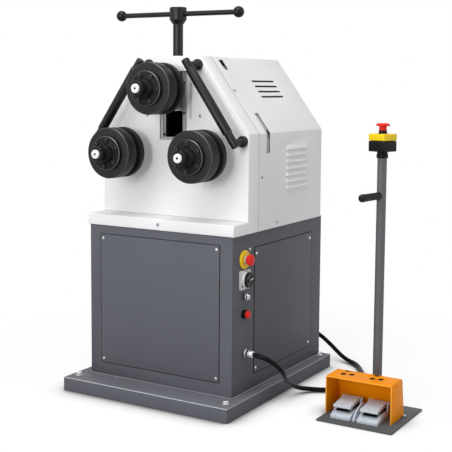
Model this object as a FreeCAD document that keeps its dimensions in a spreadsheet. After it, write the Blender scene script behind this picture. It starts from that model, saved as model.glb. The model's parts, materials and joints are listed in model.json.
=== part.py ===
import FreeCAD, Part
import math
import os
import re

import Sketcher

# Three-roll ring roller on a cabinet, with a foot-pedal station beside it.
# Millimetres. The machine faces -Y, +Z is up, and the origin is the centre of the plinth on the floor.

SIZES = {
    # Plinth and its levelling bolts
    "plinth_side_ledge": 40.0,
    "plinth_back_ledge": 10.0,
    "plinth_height": 44.0,
    "plinth_wall": 6.0,
    "plinth_floor": 4.0,
    "plinth_rim": 60.0,
    "bolt_inset": 30.0,
    "bolt_front_inset": 44.0,
    "bolt_back_inset": 32.0,
    "bolt_radius": 5.0,
    "bolt_head_radius": 9.0,
    "bolt_head_height": 7.0,
    "bolt_washer_radius": 10.0,
    "bolt_washer_height": 2.0,
    "bolt_length": 24.0,
    "edge_break": 1.0,
    # Cabinet, its openings and doors
    "cabinet_width": 540.0,
    "cabinet_depth": 616.0,
    "cabinet_height": 496.0,
    "cabinet_wall": 3.0,
    "cabinet_foot": 30.0,
    "cabinet_setback": 94.0,
    "door_sheet": 2.0,
    "door_lap": 14.0,
    "door_lip": 12.0,
    "door_gap": 1.0,
    "front_door_width": 450.0,
    "front_door_height": 424.0,
    "front_door_foot": 43.0,
    "side_door_width": 398.0,
    "side_door_height": 401.0,
    "side_door_foot": 46.0,
    "side_door_setback": 136.0,
    "vent_width": 160.0,
    "vent_height": 6.0,
    "vent_pitch": 22.0,
    "vent_count": 6.0,
    "vent_drop": 60.0,
    # Hood over the head, with its ledge, slopes and openings
    "hood_side_overhang": 6.0,
    "hood_front_overhang": 4.0,
    "hood_back_inset": 20.0,
    "hood_sheet": 1.5,
    "hood_flange": 12.0,
    "skirt_height": 36.0,
    "ledge_depth": 87.0,
    "panel_return": 65.0,
    "crease_rise": 305.0,
    "slope_rise": 239.0,
    "hood_top_width": 198.0,
    "window_width": 104.0,
    "window_height": 218.0,
    "window_rise": 279.0,
    "shaft_hole_gap": 4.0,
    "screw_hole_gap": 2.0,
    "groove_offset": 62.0,
    "groove_slot_width": 8.0,
    "groove_slot_height": 112.0,
    "groove_slot_rise": 348.0,
    "louvre_count": 7.0,
    "louvre_pitch": 21.3,
    "louvre_length": 142.0,
    "louvre_height": 14.0,
    "louvre_depth": 6.0,
    "louvre_wall": 1.2,
    "louvre_rise": 118.0,
    "louvre_setback": 186.0,
    "slope_slot_count": 4.0,
    "slope_slot_pitch": 16.8,
    "slope_slot_length": 152.0,
    "slope_slot_height": 5.5,
    "slope_slot_rise": 414.0,
    "slope_slot_setback": 162.0,
    "wrap_slot_width": 25.0,
    "wrap_slot_setback": 47.0,
    "wrap_slot_low": 242.0,
    "wrap_slot_high": 366.0,
    "peak_slot_width": 25.0,
    "peak_slot_setback": 33.0,
    "peak_slot_low": 502.0,
    "peak_slot_high": 534.0,
    # Welded head frame on its bed plate
    "bed_thickness": 12.0,
    "bed_margin": 20.0,
    "plate_gap": 3.5,
    "plate_thickness": 22.0,
    "plate_spacing": 156.0,
    "frame_half_width": 240.0,
    "frame_shoulder_drop": 15.0,
    "frame_top_half": 86.0,
    "frame_top_drop": 28.0,
    "wing_gap": 3.0,
    "wing_thickness": 10.0,
    "wing_length": 91.0,
    "wing_low": 190.0,
    "wing_high": 500.0,
    "wing_corner": 30.0,
    "wing_corner_cut": 9.0,
    "slot_half_width": 43.3,
    "slot_foot": 9.0,
    "rail_thickness": 20.0,
    "rail_foot": 16.0,
    "arm_half_width": 45.0,
    "arm_thickness": 20.0,
    "arm_length": 62.0,
    "arm_gap": 16.0,
    "bridge_half_width": 80.0,
    "bridge_depth": 78.0,
    "bridge_thickness": 24.0,
    # Rolls, shafts and bearings
    "roll_rise": 239.0,
    "top_roll_rise": 203.0,
    "roll_radius": 80.0,
    "front_disc_width": 44.5,
    "groove_width": 25.5,
    "groove_radius": 58.0,
    "rear_disc_width": 17.5,
    "disc_bevel": 2.0,
    "roll_stand_off": 54.0,
    "seat_radius": 20.0,
    "collar_radius": 28.0,
    "journal_radius": 22.5,
    "clamp_radius": 54.0,
    "clamp_thickness": 12.0,
    "clamp_hub_radius": 31.0,
    "clamp_hub_tip_radius": 27.0,
    "clamp_hub_length": 20.0,
    "clamp_spigot": 6.0,
    "nut_radius": 24.0,
    "nut_length": 28.0,
    "nut_bevel": 3.0,
    "thread_radius": 14.0,
    "thread_overhang": 5.5,
    "centre_hole_radius": 3.0,
    "centre_hole_depth": 8.0,
    "bearing_radius": 42.5,
    "bearing_width": 19.0,
    "bearing_lip": 4.0,
    "race_thickness": 5.0,
    "fit_gap": 0.02,
    "running_gap": 0.05,
    "end_gap": 0.3,
    # Gear train and gearmotor
    "gear_module": 5.0,
    "gear_teeth": 38.0,
    "pinion_teeth": 26.0,
    "pinion_drop": 50.0,
    "gear_width": 30.0,
    "gear_gap": 12.0,
    "gear_hub_radius": 36.0,
    "tooth_gap": 0.15,
    "pinion_shaft_radius": 15.0,
    "pinion_shaft_entry": 56.0,
    "gearbox_height": 150.0,
    "gearbox_depth": 96.0,
    "gearbox_flange": 12.0,
    "gearbox_cap": 8.0,
    "worm_offset": 100.0,
    "worm_radius": 46.0,
    "motor_radius": 65.0,
    "motor_length": 230.0,
    "motor_flange_radius": 70.0,
    "motor_flange": 12.0,
    "motor_hole_gap": 10.0,
    "terminal_width": 80.0,
    "terminal_height": 72.0,
    "terminal_reach": 20.0,
    "terminal_lift": 8.0,
    # Top slide, its guides and its screw
    "neck_half_width": 31.0,
    "slide_half_width": 60.0,
    "slide_above": 62.0,
    "slide_below": 70.0,
    "guide_gap": 0.3,
    "strip_bevel": 2.0,
    "screw_setback": 21.0,
    "screw_radius": 16.0,
    "screw_neck_radius": 11.0,
    "screw_tip": 14.0,
    "keeper_height": 7.4,
    "keeper_width": 56.0,
    "keeper_depth": 36.0,
    "screw_rise": 100.0,
    "nut_bush_wall": 8.0,
    "hub_radius": 27.0,
    "hub_taper": 14.0,
    "hub_height": 53.0,
    "hub_spigot": 21.0,
    "hub_spigot_radius": 10.0,
    "bar_radius": 8.0,
    "bar_height": 32.0,
    "bar_half_length": 221.0,
    "ball_radius": 17.5,
    "ball_socket": 12.0,
    "socket_gap": 0.15,
    # Grab bars across the slopes
    "grab_stand_off": 60.0,
    "grab_radius": 13.5,
    "grab_end_radius": 11.5,
    "grab_foot_x": 266.0,
    "grab_foot_rise": 268.0,
    "grab_head_x": 82.0,
    "grab_head_rise": 531.0,
    "grab_foot_end": 50.0,
    "grab_head_end": 35.0,
    "grab_post_inset": 18.0,
    "grab_post_radius": 10.0,
    "grab_boss_radius": 18.0,
    "grab_boss_dome": 4.5,
    "grab_boss_height": 12.0,
    # Controls on the right side of the cabinet
    "controls_setback": 70.0,
    "estop_rise": 419.0,
    "estop_plate_radius": 29.0,
    "estop_plate_thickness": 3.0,
    "estop_neck_radius": 14.0,
    "estop_neck_length": 5.0,
    "estop_cap_radius": 17.0,
    "estop_cap_length": 19.0,
    "estop_stem_radius": 9.0,
    "estop_travel": 4.0,
    "switch_rise": 357.0,
    "switch_plate_width": 60.0,
    "switch_plate_thickness": 9.0,
    "switch_knob_radius": 23.0,
    "switch_knob_length": 17.0,
    "switch_collar": 7.0,
    "switch_grip_height": 4.0,
    "switch_rim": 2.0,
    "switch_grip_inset": 3.0,
    "switch_grip_width": 9.0,
    "key_rise": 304.0,
    "key_ring_radius": 11.0,
    "key_ring_length": 12.0,
    "key_core_radius": 8.0,
    "key_lever_length": 9.0,
    "key_lever_width": 4.0,
    "push_rise": 249.0,
    "push_ring_radius": 13.5,
    "push_ring_length": 12.0,
    "push_cap_radius": 11.5,
    "push_dome": 3.0,
    "push_cap_length": 10.0,
    "push_travel": 5.0,
    "side_gland_rise": 124.0,
    "side_gland_setback": 76.0,
    "gland_radius": 16.0,
    "gland_length": 34.0,
    "gland_hexagon": 13.6,
    "gland_cap_radius": 13.5,
    "gland_dome": 6.8,
    "gland_lip": 1.2,
    "gland_bore_radius": 7.6,
    "gland_seat": 7.0,
    "gland_lift": 9.0,
    "gland_clearance": 1.0,
    "rear_gland_x": 170.0,
    "rear_gland_rise": 66.0,
    # Pedal station
    "station_x": 638.0,
    "station_y": -62.0,
    "station_width": 238.0,
    "station_depth": 256.0,
    "station_plate": 5.0,
    "column_offset_x": -12.0,
    "column_offset_y": 82.0,
    "column_radius": 14.5,
    "column_wall": 2.0,
    "column_height": 772.0,
    "column_foot_radius": 30.0,
    "column_foot_height": 6.0,
    "head_turn": 17.0,
    "head_gland_radius": 17.8,
    "head_gland_height": 20.0,
    "head_box_width": 62.0,
    "head_base_height": 33.0,
    "head_cover_height": 21.0,
    "head_corner": 4.0,
    "mushroom_neck_radius": 12.5,
    "mushroom_neck_height": 10.0,
    "mushroom_stem_radius": 11.5,
    "mushroom_stem_height": 13.0,
    "mushroom_radius": 21.0,
    "mushroom_height": 9.0,
    "grip_height": 658.0,
    "grip_radius": 11.0,
    "grip_end_radius": 12.5,
    "grip_length": 102.0,
    "guard_width": 212.0,
    "guard_depth": 105.0,
    "guard_lean": 20.0,
    "guard_front_height": 116.0,
    "guard_back_height": 120.0,
    "guard_sheet": 3.0,
    "guard_bend": 8.0,
    "guard_offset": 13.0,
    "guard_setback": 63.0,
    "guard_hole_radius": 9.0,
    "guard_hole_spacing": 94.0,
    "pedal_spacing": 86.0,
    "pedal_offset": 13.0,
    "pedal_setback": 43.0,
    "pedal_width": 55.0,
    "pedal_length": 82.0,
    "pedal_flat": 8.0,
    "pedal_front_height": 38.0,
    "pedal_thickness": 6.5,
    "pedal_skirt": 3.5,
    "pedal_skirt_width": 3.0,
    "pedal_pin_height": 41.0,
    "pedal_pin_radius": 3.5,
    "pedal_hub_radius": 7.0,
    "ear_thickness": 4.2,
    "ear_margin": 2.0,
    "pin_overhang": 1.5,
    "wedge_setback": 32.0,
    "wedge_lip": 9.0,
    "wedge_height": 22.0,
    "wedge_slope": 32.0,
    "pedal_slab": 4.0,
    "divider_reach": 74.0,
    "divider_height": 40.0,
    "divider_thickness": 4.5,
    # Cables
    "cable_radius": 7.5,
}

doc = FreeCAD.newDocument("ring_roller")
sheet = doc.addObject("Spreadsheet::Sheet", "Sizes")
for row, (alias, value) in enumerate(SIZES.items(), start=1):
    sheet.set(f"A{row}", alias)
    sheet.set(f"B{row}", str(value))
    sheet.setAlias(f"B{row}", alias)
doc.recompute()

PIECES = []
ALIAS = re.compile(r"[a-z][a-z0-9_]*")


def size(alias):
    """The sheet's value of one driving dimension, in millimetres."""
    return float(sheet.get(alias))


def on_sheet(formula):
    """The formula with each driving dimension read from the sheet."""
    def named(word):
        return f"Sizes.{word.group()}" if word.group() in SIZES else word.group()

    return ALIAS.sub(named, str(formula))


def bind(thing, **formulas):
    """Binds properties of an object to formulas; a double underscore stands for a dot."""
    for name, formula in formulas.items():
        thing.setExpression(name.replace("__", "."), on_sheet(formula))
    return thing


def place(thing, x="0", y="0", z="0"):
    """Binds where an object stands."""
    return bind(thing, Placement__Base__x=x, Placement__Base__y=y, Placement__Base__z=z)


def piece(thing):
    """Marks an object as one of the machine's pieces, to be written to its own file."""
    PIECES.append(thing)
    return thing


# ---------------------------------------------------------------- sketches and solids


def sketch(body, role, loops):
    """A sketch bound to the sheet, of closed polygons [(x, y), ...] and circles ("circle", x, y, radius)."""
    drawing = body.newObject("Sketcher::SketchObject", f"{body.Name}_sketch")
    plane = next(feature for feature in body.Origin.OriginFeatures if feature.Role == role)
    drawing.AttachmentSupport = [(plane, "")]
    drawing.MapMode = "FlatFace"

    def pin(kind, geometry, point, formula):
        index = drawing.addConstraint(Sketcher.Constraint(kind, -1, 1, geometry, point, 1.0))
        drawing.setExpression(f"Constraints[{index}]", on_sheet(formula))

    for loop in loops:
        if loop[0] == "circle":
            _, x, y, radius = loop
            circle = Part.Circle(FreeCAD.Vector(1, 1, 0), FreeCAD.Vector(0, 0, 1), 5)
            ring = drawing.addGeometry(circle, False)
            pin("DistanceX", ring, 3, x)
            pin("DistanceY", ring, 3, y)
            index = drawing.addConstraint(Sketcher.Constraint("Radius", ring, 5.0))
            drawing.setExpression(f"Constraints[{index}]", on_sheet(radius))
            continue
        count = len(loop)
        turn = 2 * math.pi / count
        corners = [FreeCAD.Vector(math.cos(turn * i), math.sin(turn * i), 0) * 10 for i in range(count)]
        first = drawing.GeometryCount
        for start, end in zip(corners, corners[1:] + corners[:1]):
            drawing.addGeometry(Part.LineSegment(start, end), False)
        for i in range(count):
            follower = first + (i + 1) % count
            drawing.addConstraint(Sketcher.Constraint("Coincident", first + i, 2, follower, 1))
        for i, (x, y) in enumerate(loop):
            pin("DistanceX", first + i, 1, x)
            pin("DistanceY", first + i, 1, y)
    return drawing


def padded(label, role, loops, length):
    """A body with one padded sketch."""
    body = doc.addObject("PartDesign::Body", label)
    body.Label = label
    pad = body.newObject("PartDesign::Pad", f"{label}_pad")
    drawing = sketch(body, role, loops)
    pad.Profile = drawing
    bind(pad, Length=length)
    body.Tip = pad
    return body


def plate_x(label, loops, low, high):
    """A prism drawn in (y, z), from x = low to x = high."""
    return place(padded(label, "YZ_Plane", loops, f"{high} - ({low})"), x=low)


def plate_y(label, loops, front, back):
    """A prism drawn in (x, z), from y = front to y = back."""
    return place(padded(label, "XZ_Plane", loops, f"{back} - ({front})"), y=back)


def plate_z(label, loops, low, high):
    """A prism drawn in (x, y), from z = low to z = high."""
    return place(padded(label, "XY_Plane", loops, f"{high} - ({low})"), z=low)


def turned(label, axis, profile, x="0", y="0", z="0"):
    """A body of revolution; its profile is (radius, along), or (along, radius) for an X axis."""
    body = doc.addObject("PartDesign::Body", label)
    body.Label = label
    spin = body.newObject("PartDesign::Revolution", f"{label}_turned")
    drawing = sketch(body, "XZ_Plane" if axis == "Z" else "XY_Plane", [profile])
    spin.Profile = drawing
    spin.ReferenceAxis = (drawing, ["H_Axis" if axis == "X" else "V_Axis"])
    spin.Angle = 360
    body.Tip = spin
    return place(body, x, y, z)


def block(label, x, y, z):
    """A Part box between pairs of formulas."""
    thing = doc.addObject("Part::Box", label)
    bind(thing, Length=f"{x[1]} - ({x[0]})", Width=f"{y[1]} - ({y[0]})", Height=f"{z[1]} - ({z[0]})")
    return place(thing, x[0], y[0], z[0])


TURNS = {
    "Z": FreeCAD.Rotation(),
    "X": FreeCAD.Rotation(FreeCAD.Vector(0, 1, 0), 90),
    "Y": FreeCAD.Rotation(FreeCAD.Vector(1, 0, 0), -90),
}


def rod(label, axis, radius, length, x="0", y="0", z="0"):
    """A Part cylinder from its base point along +X, +Y or +Z."""
    thing = doc.addObject("Part::Cylinder", label)
    thing.Placement = FreeCAD.Placement(FreeCAD.Vector(), TURNS[axis])
    bind(thing, Radius=radius, Height=length)
    return place(thing, x, y, z)


def fused(label, *things):
    """Pieces welded or cast as one."""
    whole = doc.addObject("Part::MultiFuse", label)
    whole.Shapes = list(things)
    whole.Refine = True
    return whole


def cut(label, base, *tools):
    """A piece with material taken away."""
    whole = doc.addObject("Part::Cut", label)
    whole.Base = base
    whole.Tool = tools[0] if len(tools) == 1 else fused(f"{label}_tools", *tools)
    whole.Refine = True
    return whole


def common(label, first, second):
    """The material two prisms share."""
    whole = doc.addObject("Part::Common", label)
    whole.Base = first
    whole.Tool = second
    return whole


def group(label, *things):
    """Separate like solids that share one name."""
    whole = doc.addObject("Part::Compound", label)
    whole.Links = list(things)
    return whole


def mirrored_x(points):
    """A half outline, given from bottom to top at +X, closed by its mirror image."""
    return points + [(f"-({x})", y) for x, y in reversed(points)]


def rectangle(x, y):
    """Corner points between pairs of formulas."""
    return [(x[0], y[0]), (x[1], y[0]), (x[1], y[1]), (x[0], y[1])]


# ---------------------------------------------------------------- shared places

CABINET_HALF = "(cabinet_width / 2)"
PLINTH_HALF = f"({CABINET_HALF} + plinth_side_ledge)"
PLINTH_BACK = "((cabinet_setback + cabinet_depth + plinth_back_ledge) / 2)"
PLINTH_FRONT = f"(-{PLINTH_BACK})"
CABINET_FRONT = f"({PLINTH_FRONT} + cabinet_setback)"
CABINET_BACK = f"({CABINET_FRONT} + cabinet_depth)"
CABINET_TOP = "(plinth_height + cabinet_height)"
HOOD_HALF = f"({CABINET_HALF} + hood_side_overhang)"
HOOD_FRONT = f"({CABINET_FRONT} - hood_front_overhang)"
HOOD_BACK = f"({CABINET_BACK} - hood_back_inset)"
PANEL_FRONT = f"({HOOD_FRONT} + ledge_depth)"
SEAM = f"({PANEL_FRONT} + panel_return)"
CREASE = f"({CABINET_TOP} + crease_rise)"
HOOD_TOP = f"({CREASE} + slope_rise)"
SLOPE_RUN = f"({HOOD_HALF} - hood_top_width / 2)"
SLOPE_LENGTH = f"sqrt({SLOPE_RUN}^2 + slope_rise^2)"
BED_TOP = f"({CABINET_TOP} + bed_thickness)"
PLATE_FRONT = f"({PANEL_FRONT} + hood_sheet + plate_gap)"
PLATE_BACK = f"({PLATE_FRONT} + plate_thickness)"
REAR_PLATE_BACK = f"({PLATE_BACK} + plate_spacing)"
REAR_PLATE_FRONT = f"({REAR_PLATE_BACK} - plate_thickness)"
FRAME_TOP = f"({HOOD_TOP} - frame_top_drop)"
ROLL_Z = f"({CABINET_TOP} + roll_rise)"
TOP_ROLL_Z = f"({ROLL_Z} + top_roll_rise)"
GEAR_CENTRES = "(gear_module * (gear_teeth + pinion_teeth) / 2)"
ROLL_X = f"sqrt({GEAR_CENTRES}^2 - pinion_drop^2)"
PINION_Z = f"({ROLL_Z} - pinion_drop)"
ROLL_BACK = f"({PANEL_FRONT} - roll_stand_off)"
ROLL_WIDTH = "(front_disc_width + groove_width + rear_disc_width)"
GEAR_FRONT = f"({REAR_PLATE_BACK} + gear_gap)"
SCREW_Y = f"({PLATE_FRONT} + screw_setback)"
SLIDE_TOP = f"({TOP_ROLL_Z} + slide_above)"
SLIDE_BOTTOM = f"({TOP_ROLL_Z} - slide_below)"
HUB_FOOT = f"({HOOD_TOP} + screw_rise)"
WINDOW_FOOT = f"({CABINET_TOP} + window_rise)"
WORM_Y = f"({REAR_PLATE_BACK} + arm_length + gearbox_flange + gearbox_depth / 2)"
MOTOR_TOP = f"({PINION_Z} - gearbox_height / 2 - motor_flange)"
MOTOR_HOLE = "motor_radius + motor_hole_gap"


SIDE_GLAND_Y = f"({CABINET_FRONT} + side_gland_setback)"
SIDE_GLAND_Z = "(plinth_height + side_gland_rise)"
REAR_GLAND_Z = "(plinth_height + rear_gland_rise)"


def slope_x(height):
    """X of the hood's outer slope at a height."""
    return f"({HOOD_HALF} - ({height} - {CREASE}) * {SLOPE_RUN} / slope_rise)"


# ---------------------------------------------------------------- plinth


def plinth():
    """Welded base box, open into the cabinet, with four levelling bolts on its rim."""
    across = (f"-{PLINTH_HALF}", PLINTH_HALF)
    shell = block("plinth_blank", across, (PLINTH_FRONT, PLINTH_BACK), ("0", "plinth_height"))
    inner = "plinth_height - plinth_wall"
    room = block(
        "plinth_room",
        (f"-{PLINTH_HALF} + plinth_wall", f"{PLINTH_HALF} - plinth_wall"),
        (f"{PLINTH_FRONT} + plinth_wall", f"{PLINTH_BACK} - plinth_wall"),
        ("plinth_floor", inner),
    )
    hatch = block(
        "plinth_hatch",
        (f"-{CABINET_HALF} + plinth_rim", f"{CABINET_HALF} - plinth_rim"),
        (f"{CABINET_FRONT} + plinth_rim", f"{CABINET_BACK} - plinth_rim"),
        (inner, "plinth_height"),
    )
    rows = (
        ("front", f"{PLINTH_FRONT} + bolt_front_inset"),
        ("back", f"{PLINTH_BACK} - bolt_back_inset"),
    )
    holes = []
    bolts = []
    for side, hand in ((-1, "left"), (1, "right")):
        x = f"{side} * ({PLINTH_HALF} - bolt_inset)"
        for end, y in rows:
            mark = f"{end}_{hand}"
            bore = "bolt_radius + running_gap"
            holes.append(rod(f"bolt_hole_{mark}", "Z", bore, "plinth_wall", x, y, inner))
            bolts.append(levelling_bolt(f"bolt_{mark}", x, y))
    piece(cut("plinth", shell, room, hatch, *holes))
    piece(group("plinth_bolts", *bolts))


def levelling_bolt(label, x, y):
    """A bolt with its washer, standing in the plinth's top."""
    top = "bolt_washer_height + bolt_head_height"
    return turned(
        label, "Z",
        [
            ("0", "-bolt_length"),
            ("bolt_radius", "-bolt_length"),
            ("bolt_radius", "0"),
            ("bolt_washer_radius", "0"),
            ("bolt_washer_radius", "bolt_washer_height"),
            ("bolt_head_radius", "bolt_washer_height"),
            ("bolt_head_radius", f"{top} - edge_break"),
            ("bolt_head_radius - edge_break", top),
            ("0", top),
        ],
        x, y, "plinth_height",
    )


# ---------------------------------------------------------------- cabinet

def door_heights(foot, height):
    """Lowest and highest z of a door."""
    return f"(plinth_height + {foot})", f"(plinth_height + {foot} + {height})"


def inset(pair, margin):
    """A pair of formulas moved inwards by a margin."""
    return f"{pair[0]} + ({margin})", f"{pair[1]} - ({margin})"


def lipped_door(label, across, up, sheet_span, lip_span, builder):
    """A flat sheet that laps the opening, with a lip folded inwards all round and seated in it."""
    flat = builder(f"{label}_sheet", [rectangle(across, up)], *sheet_span)
    margin = "door_lap + door_gap"
    outer = (inset(across, margin), inset(up, margin))
    inner = (inset(across, f"{margin} + door_sheet"), inset(up, f"{margin} + door_sheet"))
    lip = builder(f"{label}_lip", [rectangle(*outer), rectangle(*inner)], *lip_span)
    return flat, lip


def cabinet():
    """Folded cabinet shell, open below, with lapped covers at the front, the right side and the back."""
    base = "plinth_height"
    shell = block(
        "cabinet_blank", (f"-{CABINET_HALF}", CABINET_HALF), (CABINET_FRONT, CABINET_BACK),
        (base, CABINET_TOP),
    )
    wall = "cabinet_wall"
    room = block(
        "cabinet_room",
        (f"-{CABINET_HALF} + {wall}", f"{CABINET_HALF} - {wall}"),
        (f"{CABINET_FRONT} + {wall}", f"{CABINET_BACK} - {wall}"),
        (f"{base} + {wall}", f"{CABINET_TOP} - {wall}"),
    )
    foot = block(
        "cabinet_foot_opening",
        (f"-{CABINET_HALF} + cabinet_foot", f"{CABINET_HALF} - cabinet_foot"),
        (f"{CABINET_FRONT} + cabinet_foot", f"{CABINET_BACK} - cabinet_foot"),
        (base, f"{base} + {wall}"),
    )
    motor_hole = rod(
        "cabinet_motor_hole", "Z", MOTOR_HOLE, wall, "worm_offset", WORM_Y, f"{CABINET_TOP} - {wall}"
    )
    front_up = door_heights("front_door_foot", "front_door_height")
    side_up = door_heights("side_door_foot", "side_door_height")
    front_across = ("-front_door_width / 2", "front_door_width / 2")
    side_across = (
        f"{CABINET_FRONT} + side_door_setback",
        f"{CABINET_FRONT} + side_door_setback + side_door_width",
    )
    across, up = inset(front_across, "door_lap"), inset(front_up, "door_lap")
    along, side_height = inset(side_across, "door_lap"), inset(side_up, "door_lap")
    openings = [
        block("front_opening", across, (CABINET_FRONT, f"{CABINET_FRONT} + {wall}"), up),
        block("side_opening", (f"{CABINET_HALF} - {wall}", CABINET_HALF), along, side_height),
        block("back_opening", across, (f"{CABINET_BACK} - {wall}", CABINET_BACK), up),
    ]
    side_gland = rod(
        "side_gland_hole", "X", "gland_bore_radius", wall,
        f"{CABINET_HALF} - {wall}", SIDE_GLAND_Y, SIDE_GLAND_Z,
    )
    piece(cut("cabinet_shell", shell, room, foot, motor_hole, *openings, side_gland))

    front = lipped_door(
        "front_door", front_across, front_up,
        (f"{CABINET_FRONT} - door_sheet", CABINET_FRONT),
        (CABINET_FRONT, f"{CABINET_FRONT} + door_lip"), plate_y,
    )
    piece(fused("front_door", *front))
    side = lipped_door(
        "side_door", side_across, side_up,
        (CABINET_HALF, f"{CABINET_HALF} + door_sheet"),
        (f"{CABINET_HALF} - door_lip", CABINET_HALF), plate_x,
    )
    piece(fused("side_door", *side))
    back = lipped_door(
        "rear_panel", front_across, front_up,
        (CABINET_BACK, f"{CABINET_BACK} + door_sheet"),
        (f"{CABINET_BACK} - door_lip", CABINET_BACK), plate_y,
    )
    vents = []
    for side_sign in (-1, 1):
        for row_number in range(int(size("vent_count"))):
            low = f"({front_up[1]} - vent_drop - {row_number} * vent_pitch - vent_height)"
            centre = f"({side_sign} * front_door_width / 4)"
            vents.append(
                block(
                    f"vent_{'left' if side_sign < 0 else 'right'}_{row_number}",
                    (f"{centre} - vent_width / 2", f"{centre} + vent_width / 2"),
                    (CABINET_BACK, f"{CABINET_BACK} + door_sheet"),
                    (low, f"{low} + vent_height"),
                )
            )
    gland_hole = rod(
        "rear_gland_hole", "Y", "gland_bore_radius", "door_sheet", "rear_gland_x", CABINET_BACK, REAR_GLAND_Z
    )
    piece(cut("rear_panel", fused("rear_panel_blank", *back), *vents, gland_hole))


# ---------------------------------------------------------------- hood


def hood_outline(thickness):
    """Half outline of the hood's section, from the bottom up, moved inwards by a sheet thickness."""
    lean_out = f"({SLOPE_LENGTH} - slope_rise) / {SLOPE_RUN}"
    lean_in = f"({SLOPE_LENGTH} - {SLOPE_RUN}) / slope_rise"
    return [
        (f"{HOOD_HALF} - {thickness}", CABINET_TOP),
        (f"{HOOD_HALF} - {thickness}", f"{CREASE} - {thickness} * {lean_out}"),
        (f"hood_top_width / 2 - {thickness} * {lean_in}", f"{HOOD_TOP} - {thickness}"),
    ]


def front_panel():
    """The hood's front: skirt, ledge and panel with returned edges, folded from one sheet."""
    tee = "hood_sheet"
    ledge = f"({CABINET_TOP} + skirt_height)"
    face = plate_y("panel_blank", [mirrored_x(hood_outline("0"))], PANEL_FRONT, SEAM)
    skirt = block("skirt_blank", (f"-{HOOD_HALF}", HOOD_HALF), (HOOD_FRONT, SEAM), (CABINET_TOP, ledge))
    hollow = plate_y("panel_hollow", [mirrored_x(hood_outline(tee))], f"{PANEL_FRONT} + {tee}", SEAM)
    skirt_hollow = block(
        "skirt_hollow",
        (f"-{HOOD_HALF} + {tee}", f"{HOOD_HALF} - {tee}"),
        (f"{HOOD_FRONT} + {tee}", SEAM),
        (CABINET_TOP, f"{ledge} - {tee}"),
    )
    window = block(
        "window", ("-window_width / 2", "window_width / 2"), (PANEL_FRONT, f"{PANEL_FRONT} + {tee}"),
        (WINDOW_FOOT, f"{WINDOW_FOOT} + window_height"),
    )
    slot_foot = f"({CABINET_TOP} + groove_slot_rise)"
    groove = block(
        "scale_slot",
        ("groove_offset", "groove_offset + groove_slot_width"),
        (PANEL_FRONT, f"{PANEL_FRONT} + {tee}"),
        (slot_foot, f"{slot_foot} + groove_slot_height"),
    )
    holes = [
        rod(f"shaft_hole_{name}", "Y", "collar_radius + shaft_hole_gap", tee, x, PANEL_FRONT, ROLL_Z)
        for name, x in (("left", f"-{ROLL_X}"), ("right", ROLL_X))
    ]
    screw_hole = rod(
        "screw_hole", "Z", "screw_radius + screw_hole_gap", tee, "0", SCREW_Y, f"{HOOD_TOP} - {tee}"
    )
    sheet_metal = fused("panel_sheet", face, skirt)
    shell = cut("panel_shell", sheet_metal, hollow, skirt_hollow, window, groove, *holes, screw_hole)
    flange = plate_z(
        "skirt_flange",
        [
            [
                (f"-{HOOD_HALF}", SEAM),
                (f"-{HOOD_HALF}", HOOD_FRONT),
                (HOOD_HALF, HOOD_FRONT),
                (HOOD_HALF, SEAM),
                (f"{HOOD_HALF} - {tee} - hood_flange", SEAM),
                (f"{HOOD_HALF} - {tee} - hood_flange", f"{HOOD_FRONT} + {tee} + hood_flange"),
                (f"-({HOOD_HALF} - {tee} - hood_flange)", f"{HOOD_FRONT} + {tee} + hood_flange"),
                (f"-({HOOD_HALF} - {tee} - hood_flange)", SEAM),
            ]
        ],
        CABINET_TOP,
        f"{CABINET_TOP} + {tee}",
    )
    piece(fused("front_panel", shell, flange))


def louvre(side, number):
    """One pressed louvre: its bulge outside the side sheet and the hollow that opens it downwards."""
    foot = f"({CABINET_TOP} + louvre_rise + {number} * louvre_pitch)"
    low = f"({SEAM} + louvre_setback)"
    span = (low, f"{low} + louvre_length")
    name = f"{'left' if side < 0 else 'right'}_{number}"
    wall = f"{side} * {HOOD_HALF}"
    bulge = plate_y(
        f"louvre_{name}",
        [[(wall, foot), (f"{wall} + {side} * louvre_depth", foot), (wall, f"{foot} + louvre_height")]],
        *span,
    )
    hollow = plate_y(
        f"louvre_hollow_{name}",
        [
            [
                (f"{wall} - {side} * 2 * hood_sheet", foot),
                (f"{wall} + {side} * (louvre_depth - louvre_wall)", foot),
                (f"{wall} - {side} * 2 * hood_sheet", f"{foot} + louvre_height"),
            ]
        ],
        f"{span[0]} + louvre_wall",
        f"{span[1]} - louvre_wall",
    )
    return bulge, hollow


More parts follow.
